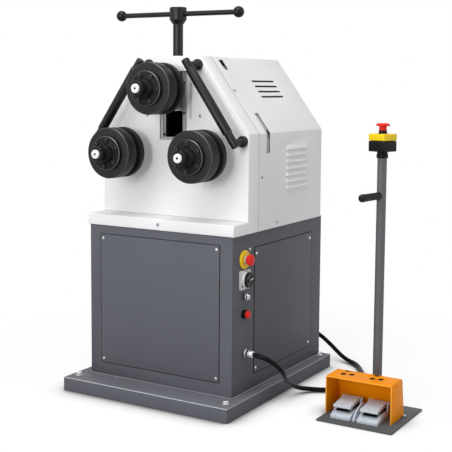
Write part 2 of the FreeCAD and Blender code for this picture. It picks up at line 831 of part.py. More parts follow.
def hood_shell():
    """Sides, slopes, top and back of the hood in one folded shell, with louvres, slots and a flange."""
    tee = "hood_sheet"
    blank = plate_y("hood_blank", [mirrored_x(hood_outline("0"))], SEAM, HOOD_BACK)
    hollow = plate_y("hood_hollow", [mirrored_x(hood_outline(tee))], SEAM, f"{HOOD_BACK} - {tee}")
    bulges = []
    tools = [hollow]
    for side in (-1, 1):
        for number in range(int(size("louvre_count"))):
            bulge, opening = louvre(side, number)
            bulges.append(bulge)
            tools.append(opening)
        name = "left" if side < 0 else "right"
        for number in range(int(size("slope_slot_count"))):
            foot = f"({CABINET_TOP} + slope_slot_rise + {number} * slope_slot_pitch)"
            x = slope_x(foot)
            low = f"({SEAM} + slope_slot_setback)"
            tools.append(
                block(
                    f"slope_slot_{name}_{number}",
                    pair_x(side, f"{x} - 6 * {tee}", f"{x} + {tee}"),
                    (low, f"{low} + slope_slot_length"),
                    (foot, f"{foot} + slope_slot_height"),
                )
            )
        for kind, width, setback, low_rise, high_rise in (
            ("wrap", "wrap_slot_width", "wrap_slot_setback", "wrap_slot_low", "wrap_slot_high"),
            ("peak", "peak_slot_width", "peak_slot_setback", "peak_slot_low", "peak_slot_high"),
        ):
            start = f"({SEAM} + {setback})"
            top = f"({CABINET_TOP} + {high_rise})"
            tools.append(
                block(
                    f"{kind}_slot_{name}",
                    pair_x(side, f"{slope_x(top)} - 6 * {tee}", f"{HOOD_HALF} + {tee}"),
                    (start, f"{start} + {width}"),
                    (f"{CABINET_TOP} + {low_rise}", top),
                )
            )
    shell = cut("hood_folded", fused("hood_pressed", blank, *bulges), *tools)
    inner = f"{HOOD_HALF} - {tee} - hood_flange"
    flange = plate_z(
        "hood_bottom_flange",
        [
            [
                (HOOD_HALF, SEAM),
                (HOOD_HALF, HOOD_BACK),
                (f"-{HOOD_HALF}", HOOD_BACK),
                (f"-{HOOD_HALF}", SEAM),
                (f"-({inner})", SEAM),
                (f"-({inner})", f"{HOOD_BACK} - {tee} - hood_flange"),
                (inner, f"{HOOD_BACK} - {tee} - hood_flange"),
                (inner, SEAM),
            ]
        ],
        CABINET_TOP,
        f"{CABINET_TOP} + {tee}",
    )
    piece(fused("hood_shell", shell, flange))


def pair_x(side, low, high):
    """A span in x on the right side, or its mirror image on the left."""
    return (low, high) if side > 0 else (f"-({high})", f"-({low})")


# ---------------------------------------------------------------- head frame

SLOT_FOOT = f"({WINDOW_FOOT} + slot_foot)"
PINION_TIP = "(gear_module * (pinion_teeth + 2) / 2)"
BODY_FRONT = f"({PLATE_BACK} + guide_gap)"
BODY_BACK = f"({REAR_PLATE_FRONT} - guide_gap)"


WING_LOW = f"({CABINET_TOP} + wing_low)"
WING_CORNER = f"({CREASE} - wing_corner)"


def wing_outline(depth):
    """The rear plate's edge behind the hood's side and slope, from the bottom up, moved inwards."""
    half = f"{HOOD_HALF} - hood_sheet - wing_gap - {depth}"
    slant = f"(hood_sheet + wing_gap + {depth}) * {SLOPE_LENGTH} / slope_rise"
    bend = f"({CREASE} + wing_corner / 3)"
    high = f"({CABINET_TOP} + wing_high)"
    return [
        (half, WING_LOW),
        (half, WING_CORNER),
        (f"{half} - wing_corner_cut", CREASE),
        (f"{slope_x(bend)} - {slant}", bend),
        (f"{slope_x(high)} - {slant}", high),
        (f"{slope_x(FRAME_TOP)} - {slant} - wing_corner_cut", FRAME_TOP),
    ]


def wing(side):
    """A flat bar along the rear plate's edge, which carries the hood and shows in its slots."""
    points = wing_outline("0") + wing_outline("wing_thickness")[::-1]
    if side < 0:
        points = [(f"-({x})", z) for x, z in reversed(points)]
    name = "left" if side < 0 else "right"
    return plate_y(f"frame_wing_{name}", [points], f"({REAR_PLATE_BACK} - wing_length)", REAR_PLATE_BACK)


def head_frame():
    """Bed plate, and the two welded plates with guide webs, wings and gearbox arms that stand on it."""
    bed = block(
        "bed_blank",
        (f"-{CABINET_HALF} + bed_margin", f"{CABINET_HALF} - bed_margin"),
        (f"{CABINET_FRONT} + bed_margin", f"{HOOD_BACK} - bed_margin"),
        (CABINET_TOP, BED_TOP),
    )
    hole = rod("bed_motor_hole", "Z", MOTOR_HOLE, "bed_thickness", "worm_offset", WORM_Y, CABINET_TOP)
    piece(cut("bed_plate", bed, hole))

    outline = [
        ("frame_half_width", BED_TOP),
        ("frame_half_width", f"{CREASE} - frame_shoulder_drop"),
        ("frame_top_half", FRAME_TOP),
    ]
    slot = [("slot_half_width", FRAME_TOP), ("slot_half_width", SLOT_FOOT)]
    bores = [
        ("circle", f"-{ROLL_X}", ROLL_Z, "bearing_radius + fit_gap"),
        ("circle", ROLL_X, ROLL_Z, "bearing_radius + fit_gap"),
    ]
    pinion_bore = ("circle", "0", PINION_Z, "pinion_shaft_radius + running_gap")
    front = [mirrored_x(outline + slot)] + bores
    flare = [("frame_half_width", BED_TOP), ("frame_half_width", f"{WING_LOW} - wing_corner")]
    rear = [mirrored_x(flare + wing_outline("0"))] + bores + [pinion_bore]
    pieces = [
        plate_y("frame_front_plate", front, PLATE_FRONT, PLATE_BACK),
        plate_y("frame_rear_plate", rear, REAR_PLATE_FRONT, REAR_PLATE_BACK),
    ]
    for side in (-1, 1):
        name = "left" if side < 0 else "right"
        pieces.append(wing(side))
        inner = "slide_half_width + guide_gap"
        pieces.append(
            block(
                f"frame_web_{name}",
                pair_x(side, inner, f"{inner} + rail_thickness"),
                (PLATE_BACK, REAR_PLATE_FRONT),
                (f"{WINDOW_FOOT} + rail_foot", FRAME_TOP),
            )
        )
        reach = f"{PINION_Z} + {side} * ({PINION_TIP} + arm_gap + arm_thickness / 2)"
        pieces.append(
            block(
                f"frame_arm_{'lower' if side < 0 else 'upper'}",
                ("-arm_half_width", "arm_half_width"),
                (REAR_PLATE_BACK, f"{REAR_PLATE_BACK} + arm_length"),
                (f"{reach} - arm_thickness / 2", f"{reach} + arm_thickness / 2"),
            )
        )
    piece(fused("head_frame", *pieces))

    bridge = block(
        "bridge_blank",
        ("-bridge_half_width", "bridge_half_width"),
        (PLATE_FRONT, f"{PLATE_FRONT} + bridge_depth"),
        (FRAME_TOP, f"{FRAME_TOP} + bridge_thickness"),
    )
    outer = "screw_radius + nut_bush_wall"
    seat = rod("bridge_bore", "Z", f"{outer} + fit_gap", "bridge_thickness", "0", SCREW_Y, FRAME_TOP)
    piece(cut("screw_bridge", bridge, seat))
    inner = "screw_radius + running_gap"
    piece(
        turned(
            "spindle_nut", "Z",
            [(inner, "0"), (outer, "0"), (outer, "bridge_thickness"), (inner, "bridge_thickness")],
            "0", SCREW_Y, FRAME_TOP,
        )
    )
    strips = []
    for side in (-1, 1):
        inner, outer = "neck_half_width + guide_gap", "slot_half_width"
        points = [
            (inner, PLATE_FRONT),
            (f"{outer} - strip_bevel", PLATE_FRONT),
            (outer, f"{PLATE_FRONT} + strip_bevel"),
            (outer, PLATE_BACK),
            (inner, PLATE_BACK),
        ]
        if side < 0:
            points = [(f"-({x})", y) for x, y in reversed(points)]
        name = "left" if side < 0 else "right"
        strips.append(plate_z(f"guide_strip_{name}", [points], SLOT_FOOT, FRAME_TOP))
    piece(group("guide_strips", *strips))


# ---------------------------------------------------------------- bearings, shafts and rolls


def bearing(name, x, z, front):
    """A sealed deep-groove bearing: its outer ring with the seals, and its inner ring."""
    seal = "journal_radius + race_thickness"
    lip = "bearing_radius - race_thickness"
    outer = turned(
        f"{name}_outer", "Y",
        [
            ("bearing_radius", "0"),
            ("bearing_radius", "bearing_width"),
            (lip, "bearing_width"),
            (f"{lip} - edge_break", "bearing_width - edge_break"),
            (f"{seal} + guide_gap", "bearing_width - edge_break"),
            (f"{seal} + guide_gap", "edge_break"),
            (f"{lip} - edge_break", "edge_break"),
            (lip, "0"),
        ],
        x, front, z,
    )
    bore = "journal_radius + running_gap"
    inner = turned(
        f"{name}_inner", "Y",
        [(bore, "0"), (seal, "0"), (seal, "bearing_width"), (bore, "bearing_width")],
        x, front, z,
    )
    return outer, inner


LOWER_FRONT = f"({PLATE_BACK} - bearing_width)"
TOP_FRONT = f"({BODY_FRONT} + bearing_lip / 2)"
TOP_BACK = f"({BODY_BACK} - bearing_width)"
ROLL_FRONT = f"({ROLL_BACK} - {ROLL_WIDTH})"
CLAMP_TIP = f"({ROLL_FRONT} - clamp_thickness - clamp_hub_length)"
SHAFT_TIP = f"({CLAMP_TIP} - nut_length - thread_overhang)"


def bearings():
    """The lower bearings in the frame plates, and the top pair with its spacer in the slide."""
    lower = []
    for name, x in (("left", f"-{ROLL_X}"), ("right", ROLL_X)):
        lower += bearing(f"{name}_front_bearing", x, ROLL_Z, LOWER_FRONT)
        lower += bearing(f"{name}_rear_bearing", x, ROLL_Z, REAR_PLATE_FRONT)
    piece(group("lower_bearings", *lower))
    top = list(bearing("top_front_bearing", "0", TOP_ROLL_Z, TOP_FRONT))
    top += bearing("top_rear_bearing", "0", TOP_ROLL_Z, TOP_BACK)
    outer, inner = "bearing_radius - running_gap", "bearing_radius - race_thickness"
    front = f"({TOP_FRONT} + bearing_width)"
    top.append(
        turned(
            "bearing_spacer", "Y",
            [(outer, front), (outer, TOP_BACK), (inner, TOP_BACK), (inner, front)],
            "0", "0", TOP_ROLL_Z,
        )
    )
    piece(group("top_bearings", *top))


def shaft(label, x, z, collar_back, journal_back, gear_seat):
    """A roll shaft: threaded front end, roll seat, collar, journal and, on the driven ones, a gear seat."""
    shoulder = f"({CLAMP_TIP} + clamp_spigot)"
    points = [
        ("0", f"{SHAFT_TIP} + centre_hole_depth"),
        ("centre_hole_radius", f"{SHAFT_TIP} + centre_hole_depth"),
        ("centre_hole_radius", SHAFT_TIP),
        ("thread_radius - edge_break", SHAFT_TIP),
        ("thread_radius", f"{SHAFT_TIP} + edge_break"),
        ("thread_radius", shoulder),
        ("seat_radius", shoulder),
        ("seat_radius", ROLL_BACK),
        ("collar_radius", ROLL_BACK),
        ("collar_radius", collar_back),
        ("journal_radius", collar_back),
        ("journal_radius", journal_back),
    ]
    if gear_seat:
        points += [("seat_radius", journal_back), ("seat_radius", gear_seat), ("0", gear_seat)]
    else:
        points += [("0", journal_back)]
    piece(turned(label, "Y", points, x, "0", z))


def disc(name, radius, front, back, x, z):
    """One bevelled forming disc on the roll seat."""
    bore = "seat_radius + fit_gap"
    return turned(
        name, "Y",
        [
            (bore, front),
            (f"{radius} - disc_bevel", front),
            (radius, f"{front} + disc_bevel"),
            (radius, f"{back} - disc_bevel"),
            (f"{radius} - disc_bevel", back),
            (bore, back),
        ],
        x, "0", z,
    )


def roll(side, x, z):
    """The discs, spacer, clamp flange and round nut on one shaft."""
    first = f"({ROLL_FRONT} + front_disc_width)"
    second = f"({first} + groove_width)"
    bore = "seat_radius + fit_gap"
    spacer = turned(
        f"{side}_spacer", "Y",
        [(bore, first), ("groove_radius", first), ("groove_radius", second), (bore, second)],
        x, "0", z,
    )
    front = disc(f"{side}_front_disc", "roll_radius", ROLL_FRONT, first, x, z)
    back = disc(f"{side}_rear_disc", "roll_radius", second, ROLL_BACK, x, z)
    piece(group(f"{side}_roll_discs", front, spacer, back))
    face = f"({ROLL_FRONT} - clamp_thickness)"
    piece(
        turned(
            f"{side}_flange", "Y",
            [
                (bore, CLAMP_TIP),
                ("clamp_hub_tip_radius", CLAMP_TIP),
                ("clamp_hub_radius", face),
                ("clamp_radius - disc_bevel", face),
                ("clamp_radius", f"{face} + disc_bevel"),
                ("clamp_radius", ROLL_FRONT),
                (bore, ROLL_FRONT),
            ],
            x, "0", z,
        )
    )
    tip = f"({CLAMP_TIP} - nut_length)"
    thread = "thread_radius + fit_gap"
    piece(
        turned(
            f"{side}_lock_nut", "Y",
            [
                (thread, tip),
                ("nut_radius - nut_bevel", tip),
                ("nut_radius", f"{tip} + nut_bevel"),
                ("nut_radius", CLAMP_TIP),
                (thread, CLAMP_TIP),
            ],
            x, "0", z,
        )
    )


def rolls():
    """Two driven lower rolls and the idle top roll."""
    gear_end = f"({GEAR_FRONT} + gear_width + bearing_lip)"
    for side, x in (("left", f"-{ROLL_X}"), ("right", ROLL_X)):
        collar, journal = f"{LOWER_FRONT} - end_gap", f"{REAR_PLATE_BACK} + end_gap"
        shaft(f"{side}_shaft", x, ROLL_Z, collar, journal, gear_end)
        roll(side, x, ROLL_Z)
    shaft("top_shaft", "0", TOP_ROLL_Z, f"{PLATE_FRONT} - end_gap", f"{BODY_BACK} - edge_break", "")
    roll("top", "0", TOP_ROLL_Z)


# ---------------------------------------------------------------- gears and gearmotor


PRESSURE_ANGLE = math.radians(20)
FLANK_STEPS = (-1.25, -0.5, 0.25, 1.0)


def tooth_half_angle(radius, teeth):
    """Half the angle an involute tooth spans at a radius."""
    pitch = size("gear_module") * teeth / 2
    base = pitch * math.cos(PRESSURE_ANGLE)
    pressure = math.acos(min(1.0, base / max(radius, base)))
    involute = math.tan(pressure) - pressure
    start = math.tan(PRESSURE_ANGLE) - PRESSURE_ANGLE
    return math.pi / (2 * teeth) - size("tooth_gap") / pitch + start - involute


def gear_outline(label, teeth, phase):
    """The closed outline of a spur gear about the origin, drawn in (x, z)."""
    module = size("gear_module")
    radii = [module * (teeth / 2 + step) for step in FLANK_STEPS]
    points = []
    for number in range(teeth):
        middle = math.radians(phase) + 2 * math.pi * number / teeth
        for sign, order in ((-1, radii), (1, radii[::-1])):
            for radius in order:
                angle = middle + sign * tooth_half_angle(radius, teeth)
                points.append(FreeCAD.Vector(radius * math.cos(angle), 0, radius * math.sin(angle)))
    outline = doc.addObject("Part::Feature", label)
    outline.Shape = Part.Face(Part.makePolygon(points + points[:1]))
    return outline


def toothed(label, teeth, phase, x, z):
    """A gear rim between the gear faces at (x, z)."""
    rim = doc.addObject("Part::Extrusion", label)
    rim.Base = gear_outline(f"{label}_outline", teeth, phase)
    rim.DirMode = "Custom"
    rim.Dir = FreeCAD.Vector(0, 1, 0)
    rim.Solid = True
    bind(rim, LengthFwd="gear_width")
    return place(rim, x, GEAR_FRONT, z)


def gear_phase(direction):
    """Angle of a gear's first tooth when it meshes with a pinion whose first tooth points along +X."""
    teeth, drivers = int(size("gear_teeth")), int(size("pinion_teeth"))
    lead = (direction * drivers / 360) % 1
    return direction + 180 - (0.5 - lead) * 360 / teeth


def gears():
    """The drive pinion on its own shaft and the two roll gears it turns."""
    teeth, drivers = int(size("gear_teeth")), int(size("pinion_teeth"))
    lean = math.degrees(math.asin(size("pinion_drop") / (size("gear_module") * (teeth + drivers) / 2)))
    face = f"{GEAR_FRONT} - bearing_lip"
    for side, x, direction in (("left", f"-{ROLL_X}", 180 - lean), ("right", ROLL_X, lean)):
        rim = toothed(f"{side}_gear_rim", teeth, gear_phase(direction), x, ROLL_Z)
        hub = rod(f"{side}_gear_hub", "Y", "gear_hub_radius", "gear_width + bearing_lip", x, face, ROLL_Z)
        through = "gear_width + 2 * bearing_lip"
        bore = rod(f"{side}_gear_bore", "Y", "seat_radius + fit_gap", through, x, face, ROLL_Z)
        piece(cut(f"{side}_gear", fused(f"{side}_gear_blank", rim, hub), bore))
    rim = toothed("pinion_rim", drivers, 0.0, "0", PINION_Z)
    start = f"({REAR_PLATE_FRONT} + end_gap)"
    end = f"({REAR_PLATE_BACK} + arm_length + gearbox_flange + pinion_shaft_entry)"
    axle = rod("pinion_axle", "Y", "pinion_shaft_radius", f"{end} - {start}", "0", start, PINION_Z)
    piece(fused("drive_pinion", rim, axle))


def gearmotor():
    """Hollow-shaft worm gearbox on the frame arms, with its motor hanging through the bed."""
    front = f"({REAR_PLATE_BACK} + arm_length)"
    inner = f"({front} + gearbox_flange)"
    reach = f"({PINION_TIP} + arm_gap + arm_thickness)"
    flange = block(
        "gearbox_flange_plate",
        ("-arm_half_width", "arm_half_width"),
        (front, inner),
        (f"{PINION_Z} - {reach}", f"{PINION_Z} + {reach}"),
    )
    low, high = f"({PINION_Z} - gearbox_height / 2)", f"({PINION_Z} + gearbox_height / 2)"
    wheel = rod("gearbox_wheel_case", "Y", "gearbox_height / 2", "gearbox_depth", "0", inner, PINION_Z)
    worm = rod("gearbox_worm_case", "Z", "worm_radius", "gearbox_height", "worm_offset", WORM_Y, low)
    cap = rod(
        "gearbox_end_cap", "Z", "worm_radius - gearbox_cap", "gearbox_cap", "worm_offset", WORM_Y, high
    )
    through = "gearbox_flange + gearbox_depth"
    bore = rod("gearbox_bore", "Y", "pinion_shaft_radius + running_gap", through, "0", front, PINION_Z)
    piece(cut("gearbox", fused("gearbox_case", flange, wheel, worm, cap), bore))
    mount = rod("motor_mount", "Z", "motor_flange_radius", "motor_flange", "worm_offset", WORM_Y, MOTOR_TOP)
    foot = f"{MOTOR_TOP} - motor_length"
    can = rod("motor_can", "Z", "motor_radius", "motor_length", "worm_offset", WORM_Y, foot)
    terminal_foot = f"({BED_TOP} + terminal_lift)"
    terminal = block(
        "motor_terminal",
        ("worm_offset - terminal_width / 2", "worm_offset + terminal_width / 2"),
        (WORM_Y, f"{WORM_Y} + motor_radius + terminal_reach"),
        (terminal_foot, f"{terminal_foot} + terminal_height"),
    )
    piece(fused("motor", mount, can, terminal))


# ---------------------------------------------------------------- top slide and screw


def slide():
    """The block that carries the top roll, and the keeper that hangs it on the screw."""
    up = (SLIDE_BOTTOM, SLIDE_TOP)
    neck = block("slide_neck", ("-neck_half_width", "neck_half_width"), (PLATE_FRONT, BODY_FRONT), up)
    body = block("slide_body", ("-slide_half_width", "slide_half_width"), (BODY_FRONT, BODY_BACK), up)
    neck_bore = rod(
        "neck_bore", "Y", "journal_radius + edge_break", f"{TOP_FRONT} - {PLATE_FRONT}",
        "0", PLATE_FRONT, TOP_ROLL_Z,
    )
    housing = f"{BODY_BACK} - {TOP_FRONT}"
    bore = rod("slide_bore", "Y", "bearing_radius + fit_gap", housing, "0", TOP_FRONT, TOP_ROLL_Z)
    depth = "(screw_tip + end_gap)"
    foot = f"{SLIDE_TOP} - {depth}"
    pocket = rod("screw_pocket", "Z", "screw_radius + end_gap", depth, "0", SCREW_Y, foot)
    across = ("-keeper_width / 2", "keeper_width / 2")
    along = (f"{SCREW_Y} - keeper_depth / 2", f"{SCREW_Y} + keeper_depth / 2")
    seat = (f"{SLIDE_TOP} - keeper_height", SLIDE_TOP)
    recess = block("keeper_recess", across, along, seat)
    piece(cut("slide_block", fused("slide_blank", neck, body), neck_bore, bore, pocket, recess))

    plate = block("keeper_blank", across, along, seat)
    neck_radius = "screw_neck_radius + running_gap"
    eye = rod("keeper_eye", "Z", neck_radius, "keeper_height", "0", SCREW_Y, seat[0])
    mouth = block("keeper_mouth", (f"-({neck_radius})", neck_radius), (SCREW_Y, along[1]), seat)
    piece(cut("keeper_plate", plate, eye, mouth))


def screw():
    """The pressure screw with its tee hub, bar and ball knobs."""
    under = f"({SLIDE_TOP} - keeper_height - end_gap)"
    over = f"({SLIDE_TOP} + end_gap)"
    piece(
        turned(
            "spindle", "Z",
            [
                ("0", f"{SLIDE_TOP} - screw_tip"),
                ("screw_radius", f"{SLIDE_TOP} - screw_tip"),
                ("screw_radius", under),
                ("screw_neck_radius", under),
                ("screw_neck_radius", over),
                ("screw_radius", over),
                ("screw_radius", HUB_FOOT),
                ("hub_spigot_radius", HUB_FOOT),
                ("hub_spigot_radius", f"{HUB_FOOT} + hub_spigot"),
                ("0", f"{HUB_FOOT} + hub_spigot"),
            ],
            "0", SCREW_Y, "0",
        )
    )
    top = f"{HUB_FOOT} + hub_height"
    hub = turned(
        "hub_blank", "Z",
        [
            ("hub_spigot_radius + fit_gap", HUB_FOOT),
            ("screw_radius + edge_break", HUB_FOOT),
            ("hub_radius", f"{HUB_FOOT} + hub_taper"),
            ("hub_radius", f"{top} - disc_bevel"),
            ("hub_radius - disc_bevel", top),
            ("0", top),
            ("0", f"{HUB_FOOT} + hub_spigot"),
            ("hub_spigot_radius + fit_gap", f"{HUB_FOOT} + hub_spigot"),
        ],
        "0", SCREW_Y, "0",
    )
    bar_z = f"{HUB_FOOT} + bar_height"
    hole = rod("hub_cross_hole", "X", "bar_radius + fit_gap", "2 * hub_radius", "-hub_radius", SCREW_Y, bar_z)
    piece(cut("tee_hub", hub, hole))
    bar_end = "(bar_half_length - ball_radius + ball_socket)"
    piece(rod("tee_bar", "X", "bar_radius", f"2 * {bar_end}", f"-{bar_end}", SCREW_Y, bar_z))
    knobs = []
    for side in (-1, 1):
        name = "left" if side < 0 else "right"
        ball = doc.addObject("Part::Sphere", f"ball_{name}")
        ball.Placement = FreeCAD.Placement(FreeCAD.Vector(), TURNS["X"])
        bind(ball, Radius="ball_radius")
        place(ball, f"{side} * bar_half_length", SCREW_Y, bar_z)
        start = f"-{bar_end}" if side < 0 else "bar_half_length - ball_radius - edge_break"
        depth = "ball_socket + edge_break"
        socket = rod(f"ball_socket_{name}", "X", "bar_radius + socket_gap", depth, start, SCREW_Y, bar_z)
        knobs.append(cut(f"knob_{name}", ball, socket))
    piece(group("tee_knobs", *knobs))


# ---------------------------------------------------------------- grab bars


def grab_bar(label, side):
    """A tube on two posts with domed bosses, along one slope of the front panel."""
    foot = (size("grab_foot_x"), size("grab_foot_rise"))
    head = (size("grab_head_x"), size("grab_head_rise"))
    run, climb = head[0] - foot[0], head[1] - foot[1]
    length = "sqrt((grab_head_x - grab_foot_x)^2 + (grab_head_rise - grab_foot_rise)^2)"
    axis_y = f"({PANEL_FRONT} - grab_stand_off)"
    tube = turned(
        f"{label}_tube", "Z",
        [
            ("0", "0"),
            ("grab_end_radius - disc_bevel", "0"),
            ("grab_end_radius", "disc_bevel"),
            ("grab_end_radius", "grab_foot_end"),
            ("grab_radius", "grab_foot_end"),
            ("grab_radius", f"{length} - grab_head_end"),
            ("grab_end_radius", f"{length} - grab_head_end"),
            ("grab_end_radius", f"{length} - disc_bevel"),
            ("grab_end_radius - disc_bevel", length),
            ("0", length),
        ],
    )
    tube.Placement = FreeCAD.Placement(
        FreeCAD.Vector(), FreeCAD.Rotation(FreeCAD.Vector(0, 0, 1), FreeCAD.Vector(side * run, 0, climb))
    )
    place(tube, f"{side} * grab_foot_x", axis_y, f"{CABINET_TOP} + grab_foot_rise")
    members = [tube]
    for end, x0, z0, sign in (
        ("foot", "grab_foot_x", "grab_foot_rise", 1),
        ("head", "grab_head_x", "grab_head_rise", -1),
    ):
        along = f"{sign} * grab_post_inset / ({length})"
        x = f"{side} * ({x0} + (grab_head_x - grab_foot_x) * {along})"
        z = f"{CABINET_TOP} + {z0} + (grab_head_rise - grab_foot_rise) * {along}"
        members.append(
            turned(
                f"{label}_post_{end}", "Y",
                [
                    ("0", axis_y),
                    ("grab_post_radius", axis_y),
                    ("grab_post_radius", f"{PANEL_FRONT} - grab_boss_height"),
                    ("grab_boss_radius - grab_boss_dome", f"{PANEL_FRONT} - grab_boss_height"),
                    ("grab_boss_radius - edge_break", f"{PANEL_FRONT} - grab_boss_height + grab_boss_dome"),
                    ("grab_boss_radius", f"{PANEL_FRONT} - grab_boss_dome"),
                    ("grab_boss_radius", PANEL_FRONT),
                    ("0", PANEL_FRONT),
                ],
                x, "0", z,
            )
        )
    piece(fused(label, *members))


# ---------------------------------------------------------------- side controls

CONTROL_Y = f"({CABINET_FRONT} + controls_setback)"


def side_controls():
    """Emergency stop, main switch, key switch and push button on the right side of the cabinet."""
    face = CABINET_HALF
    z = "plinth_height + estop_rise"
    bore = "estop_stem_radius + running_gap"
    piece(
        turned(
            "estop_plate", "X",
            [
                ("0", bore),
                ("estop_plate_thickness + estop_neck_length", bore),
                ("estop_plate_thickness + estop_neck_length", "estop_neck_radius"),
                ("estop_plate_thickness", "estop_neck_radius"),
                ("estop_plate_thickness", "estop_plate_radius"),
                ("0", "estop_plate_radius"),
            ],
            face, CONTROL_Y, z,
        )
    )
    start = "(estop_plate_thickness + estop_neck_length + estop_travel + end_gap)"
    end = f"({start} + estop_cap_length)"
    piece(
        turned(
            "estop_button", "X",
            [
                ("estop_travel + end_gap", "0"),
                ("estop_travel + end_gap", "estop_stem_radius"),
                (start, "estop_stem_radius"),
                (start, "estop_cap_radius - 4"),
                (f"{start} + 8", "estop_cap_radius"),
                (f"{end} - 4", "estop_cap_radius"),
                (f"{end} - 1", "estop_cap_radius - 3"),
                (end, "estop_cap_radius - 8"),
                (end, "0"),
            ],
            face, CONTROL_Y, z,
        )
    )
    z = "(plinth_height + switch_rise)"
    half = "switch_plate_width / 2"
    ring = "switch_plate_thickness - switch_rim"
    collar = "switch_plate_thickness + switch_collar"
    plate = plate_x(
        "switch_base",
        [
            [
                (f"{CONTROL_Y} - {half} + head_corner", f"{z} - {half}"),
                (f"{CONTROL_Y} + {half} - head_corner", f"{z} - {half}"),
                (f"{CONTROL_Y} + {half}", f"{z} - {half} + head_corner"),
                (f"{CONTROL_Y} + {half}", f"{z} + {half} - head_corner"),
                (f"{CONTROL_Y} + {half} - head_corner", f"{z} + {half}"),
                (f"{CONTROL_Y} - {half} + head_corner", f"{z} + {half}"),
                (f"{CONTROL_Y} - {half}", f"{z} + {half} - head_corner"),
                (f"{CONTROL_Y} - {half}", f"{z} - {half} + head_corner"),
            ]
        ],
        face, f"{face} + {ring}",
    )
    rim = turned(
        "switch_rim", "X",
        [
            (ring, "switch_knob_radius + edge_break"),
            (collar, "switch_knob_radius + edge_break"),
            (collar, "switch_knob_radius + edge_break + switch_rim"),
            (ring, "switch_knob_radius + 2 * edge_break + switch_rim"),
        ],
        face, CONTROL_Y, z,
    )
    piece(fused("switch_plate", plate, rim))
    base = f"({face} + {ring} + end_gap)"
    dial_face = "(switch_knob_length - switch_grip_height)"
    dial = turned(
        "switch_dial", "X",
        [
            ("0", "0"),
            ("0", "switch_knob_radius"),
            (f"{dial_face} - edge_break", "switch_knob_radius"),
            (dial_face, "switch_knob_radius - 2 * edge_break"),
            (dial_face, "0"),
        ],
        base, CONTROL_Y, z,
    )
    grip = block(
        "switch_grip",
        (f"{base} + {dial_face}", f"{base} + switch_knob_length"),
        (f"{CONTROL_Y} - switch_grip_width / 2", f"{CONTROL_Y} + switch_grip_width / 2"),
        (f"{z} - switch_knob_radius + switch_grip_inset", f"{z} + switch_knob_radius - switch_grip_inset"),
    )
    piece(fused("switch_knob", dial, grip))
    z = "(plinth_height + key_rise)"
    bore = "key_core_radius + running_gap"
    piece(
        turned(
            "key_ring", "X",
            [
                ("0", bore), ("key_ring_length", bore),
                ("key_ring_length", "key_ring_radius - edge_break"),
                ("key_ring_length - edge_break", "key_ring_radius"), ("0", "key_ring_radius"),
            ],
            face, CONTROL_Y, z,
        )
    )
    core = rod("key_core", "X", "key_core_radius", "key_ring_length", f"{face} + end_gap", CONTROL_Y, z)
    lever = block(
        "key_bar",
        (f"{face} + end_gap + key_ring_length", f"{face} + end_gap + key_ring_length + key_lever_length"),
        (f"{CONTROL_Y} - key_lever_width / 2", f"{CONTROL_Y} + key_lever_width / 2"),
        (f"{z} - key_core_radius + edge_break", f"{z} + key_core_radius - edge_break"),
    )
    piece(fused("key_lever", core, lever))
    z = "(plinth_height + push_rise)"
    bore = "push_cap_radius + running_gap"
    piece(
        turned(
            "push_bezel", "X",
            [
                ("0", bore), ("push_ring_length", bore),
                ("push_ring_length", "push_ring_radius - edge_break"),
                ("push_ring_length - edge_break", "push_ring_radius"), ("0", "push_ring_radius"),
            ],
            face, CONTROL_Y, z,
        )
    )
    start = "(push_travel + end_gap)"
    end = "(push_ring_length + push_cap_length)"
    piece(
        turned(
            "push_cap", "X",
            [
                (start, "0"), (start, "push_cap_radius"), (f"{end} - push_dome", "push_cap_radius"),
                (f"{end} - push_dome / 3", "push_cap_radius - push_dome / 2"),
                (end, "push_cap_radius - push_dome * 4 / 3"), (end, "0"),
            ],
            face, CONTROL_Y, z,
        )
    )


# ---------------------------------------------------------------- pedal station

STATION_FRONT = "(station_y - station_depth / 2)"
STATION_BACK = "(station_y + station_depth / 2)"
COLUMN_X = "(station_x + column_offset_x)"
COLUMN_Y = "(station_y + column_offset_y)"
COLUMN_TOP = "(station_plate + column_height)"
GUARD_X = "(station_x - guard_offset)"
GUARD_FRONT = f"({STATION_FRONT} + guard_setback)"
GUARD_BACK = f"({GUARD_FRONT} + guard_depth)"
GUARD_TOP = "(station_plate + guard_back_height)"
PEDAL_MID = "(station_x - pedal_offset)"
PEDAL_FRONT = f"({STATION_FRONT} + pedal_setback)"
PIN_Y = f"({PEDAL_FRONT} + pedal_length)"
PIN_Z = "(station_plate + pedal_pin_height)"
GUARD_GLAND_X = f"({GUARD_X} - guard_width / 4)"
GUARD_GLAND_Z = "(station_plate + gland_radius + gland_lift)"
GRIP_DIRECTION = FreeCAD.Vector(-0.29, -0.956, -0.03)
# Ventilation holes in the guard's top: x from a pedal's middle, y from the guard's back
GUARD_HOLES = ((-19, -64), (-18, -32), (6, -59))
# Shares of a round end's radius at its two middle points
ROUND_WIDE = 0.866
ROUND_MID = 0.5
# Shares of a bend's radius taken off the width and off the height at each point along the bend
BEND = ((0.0, 1.0), (0.134, 0.5), (0.5, 0.134), (1.0, 0.0))


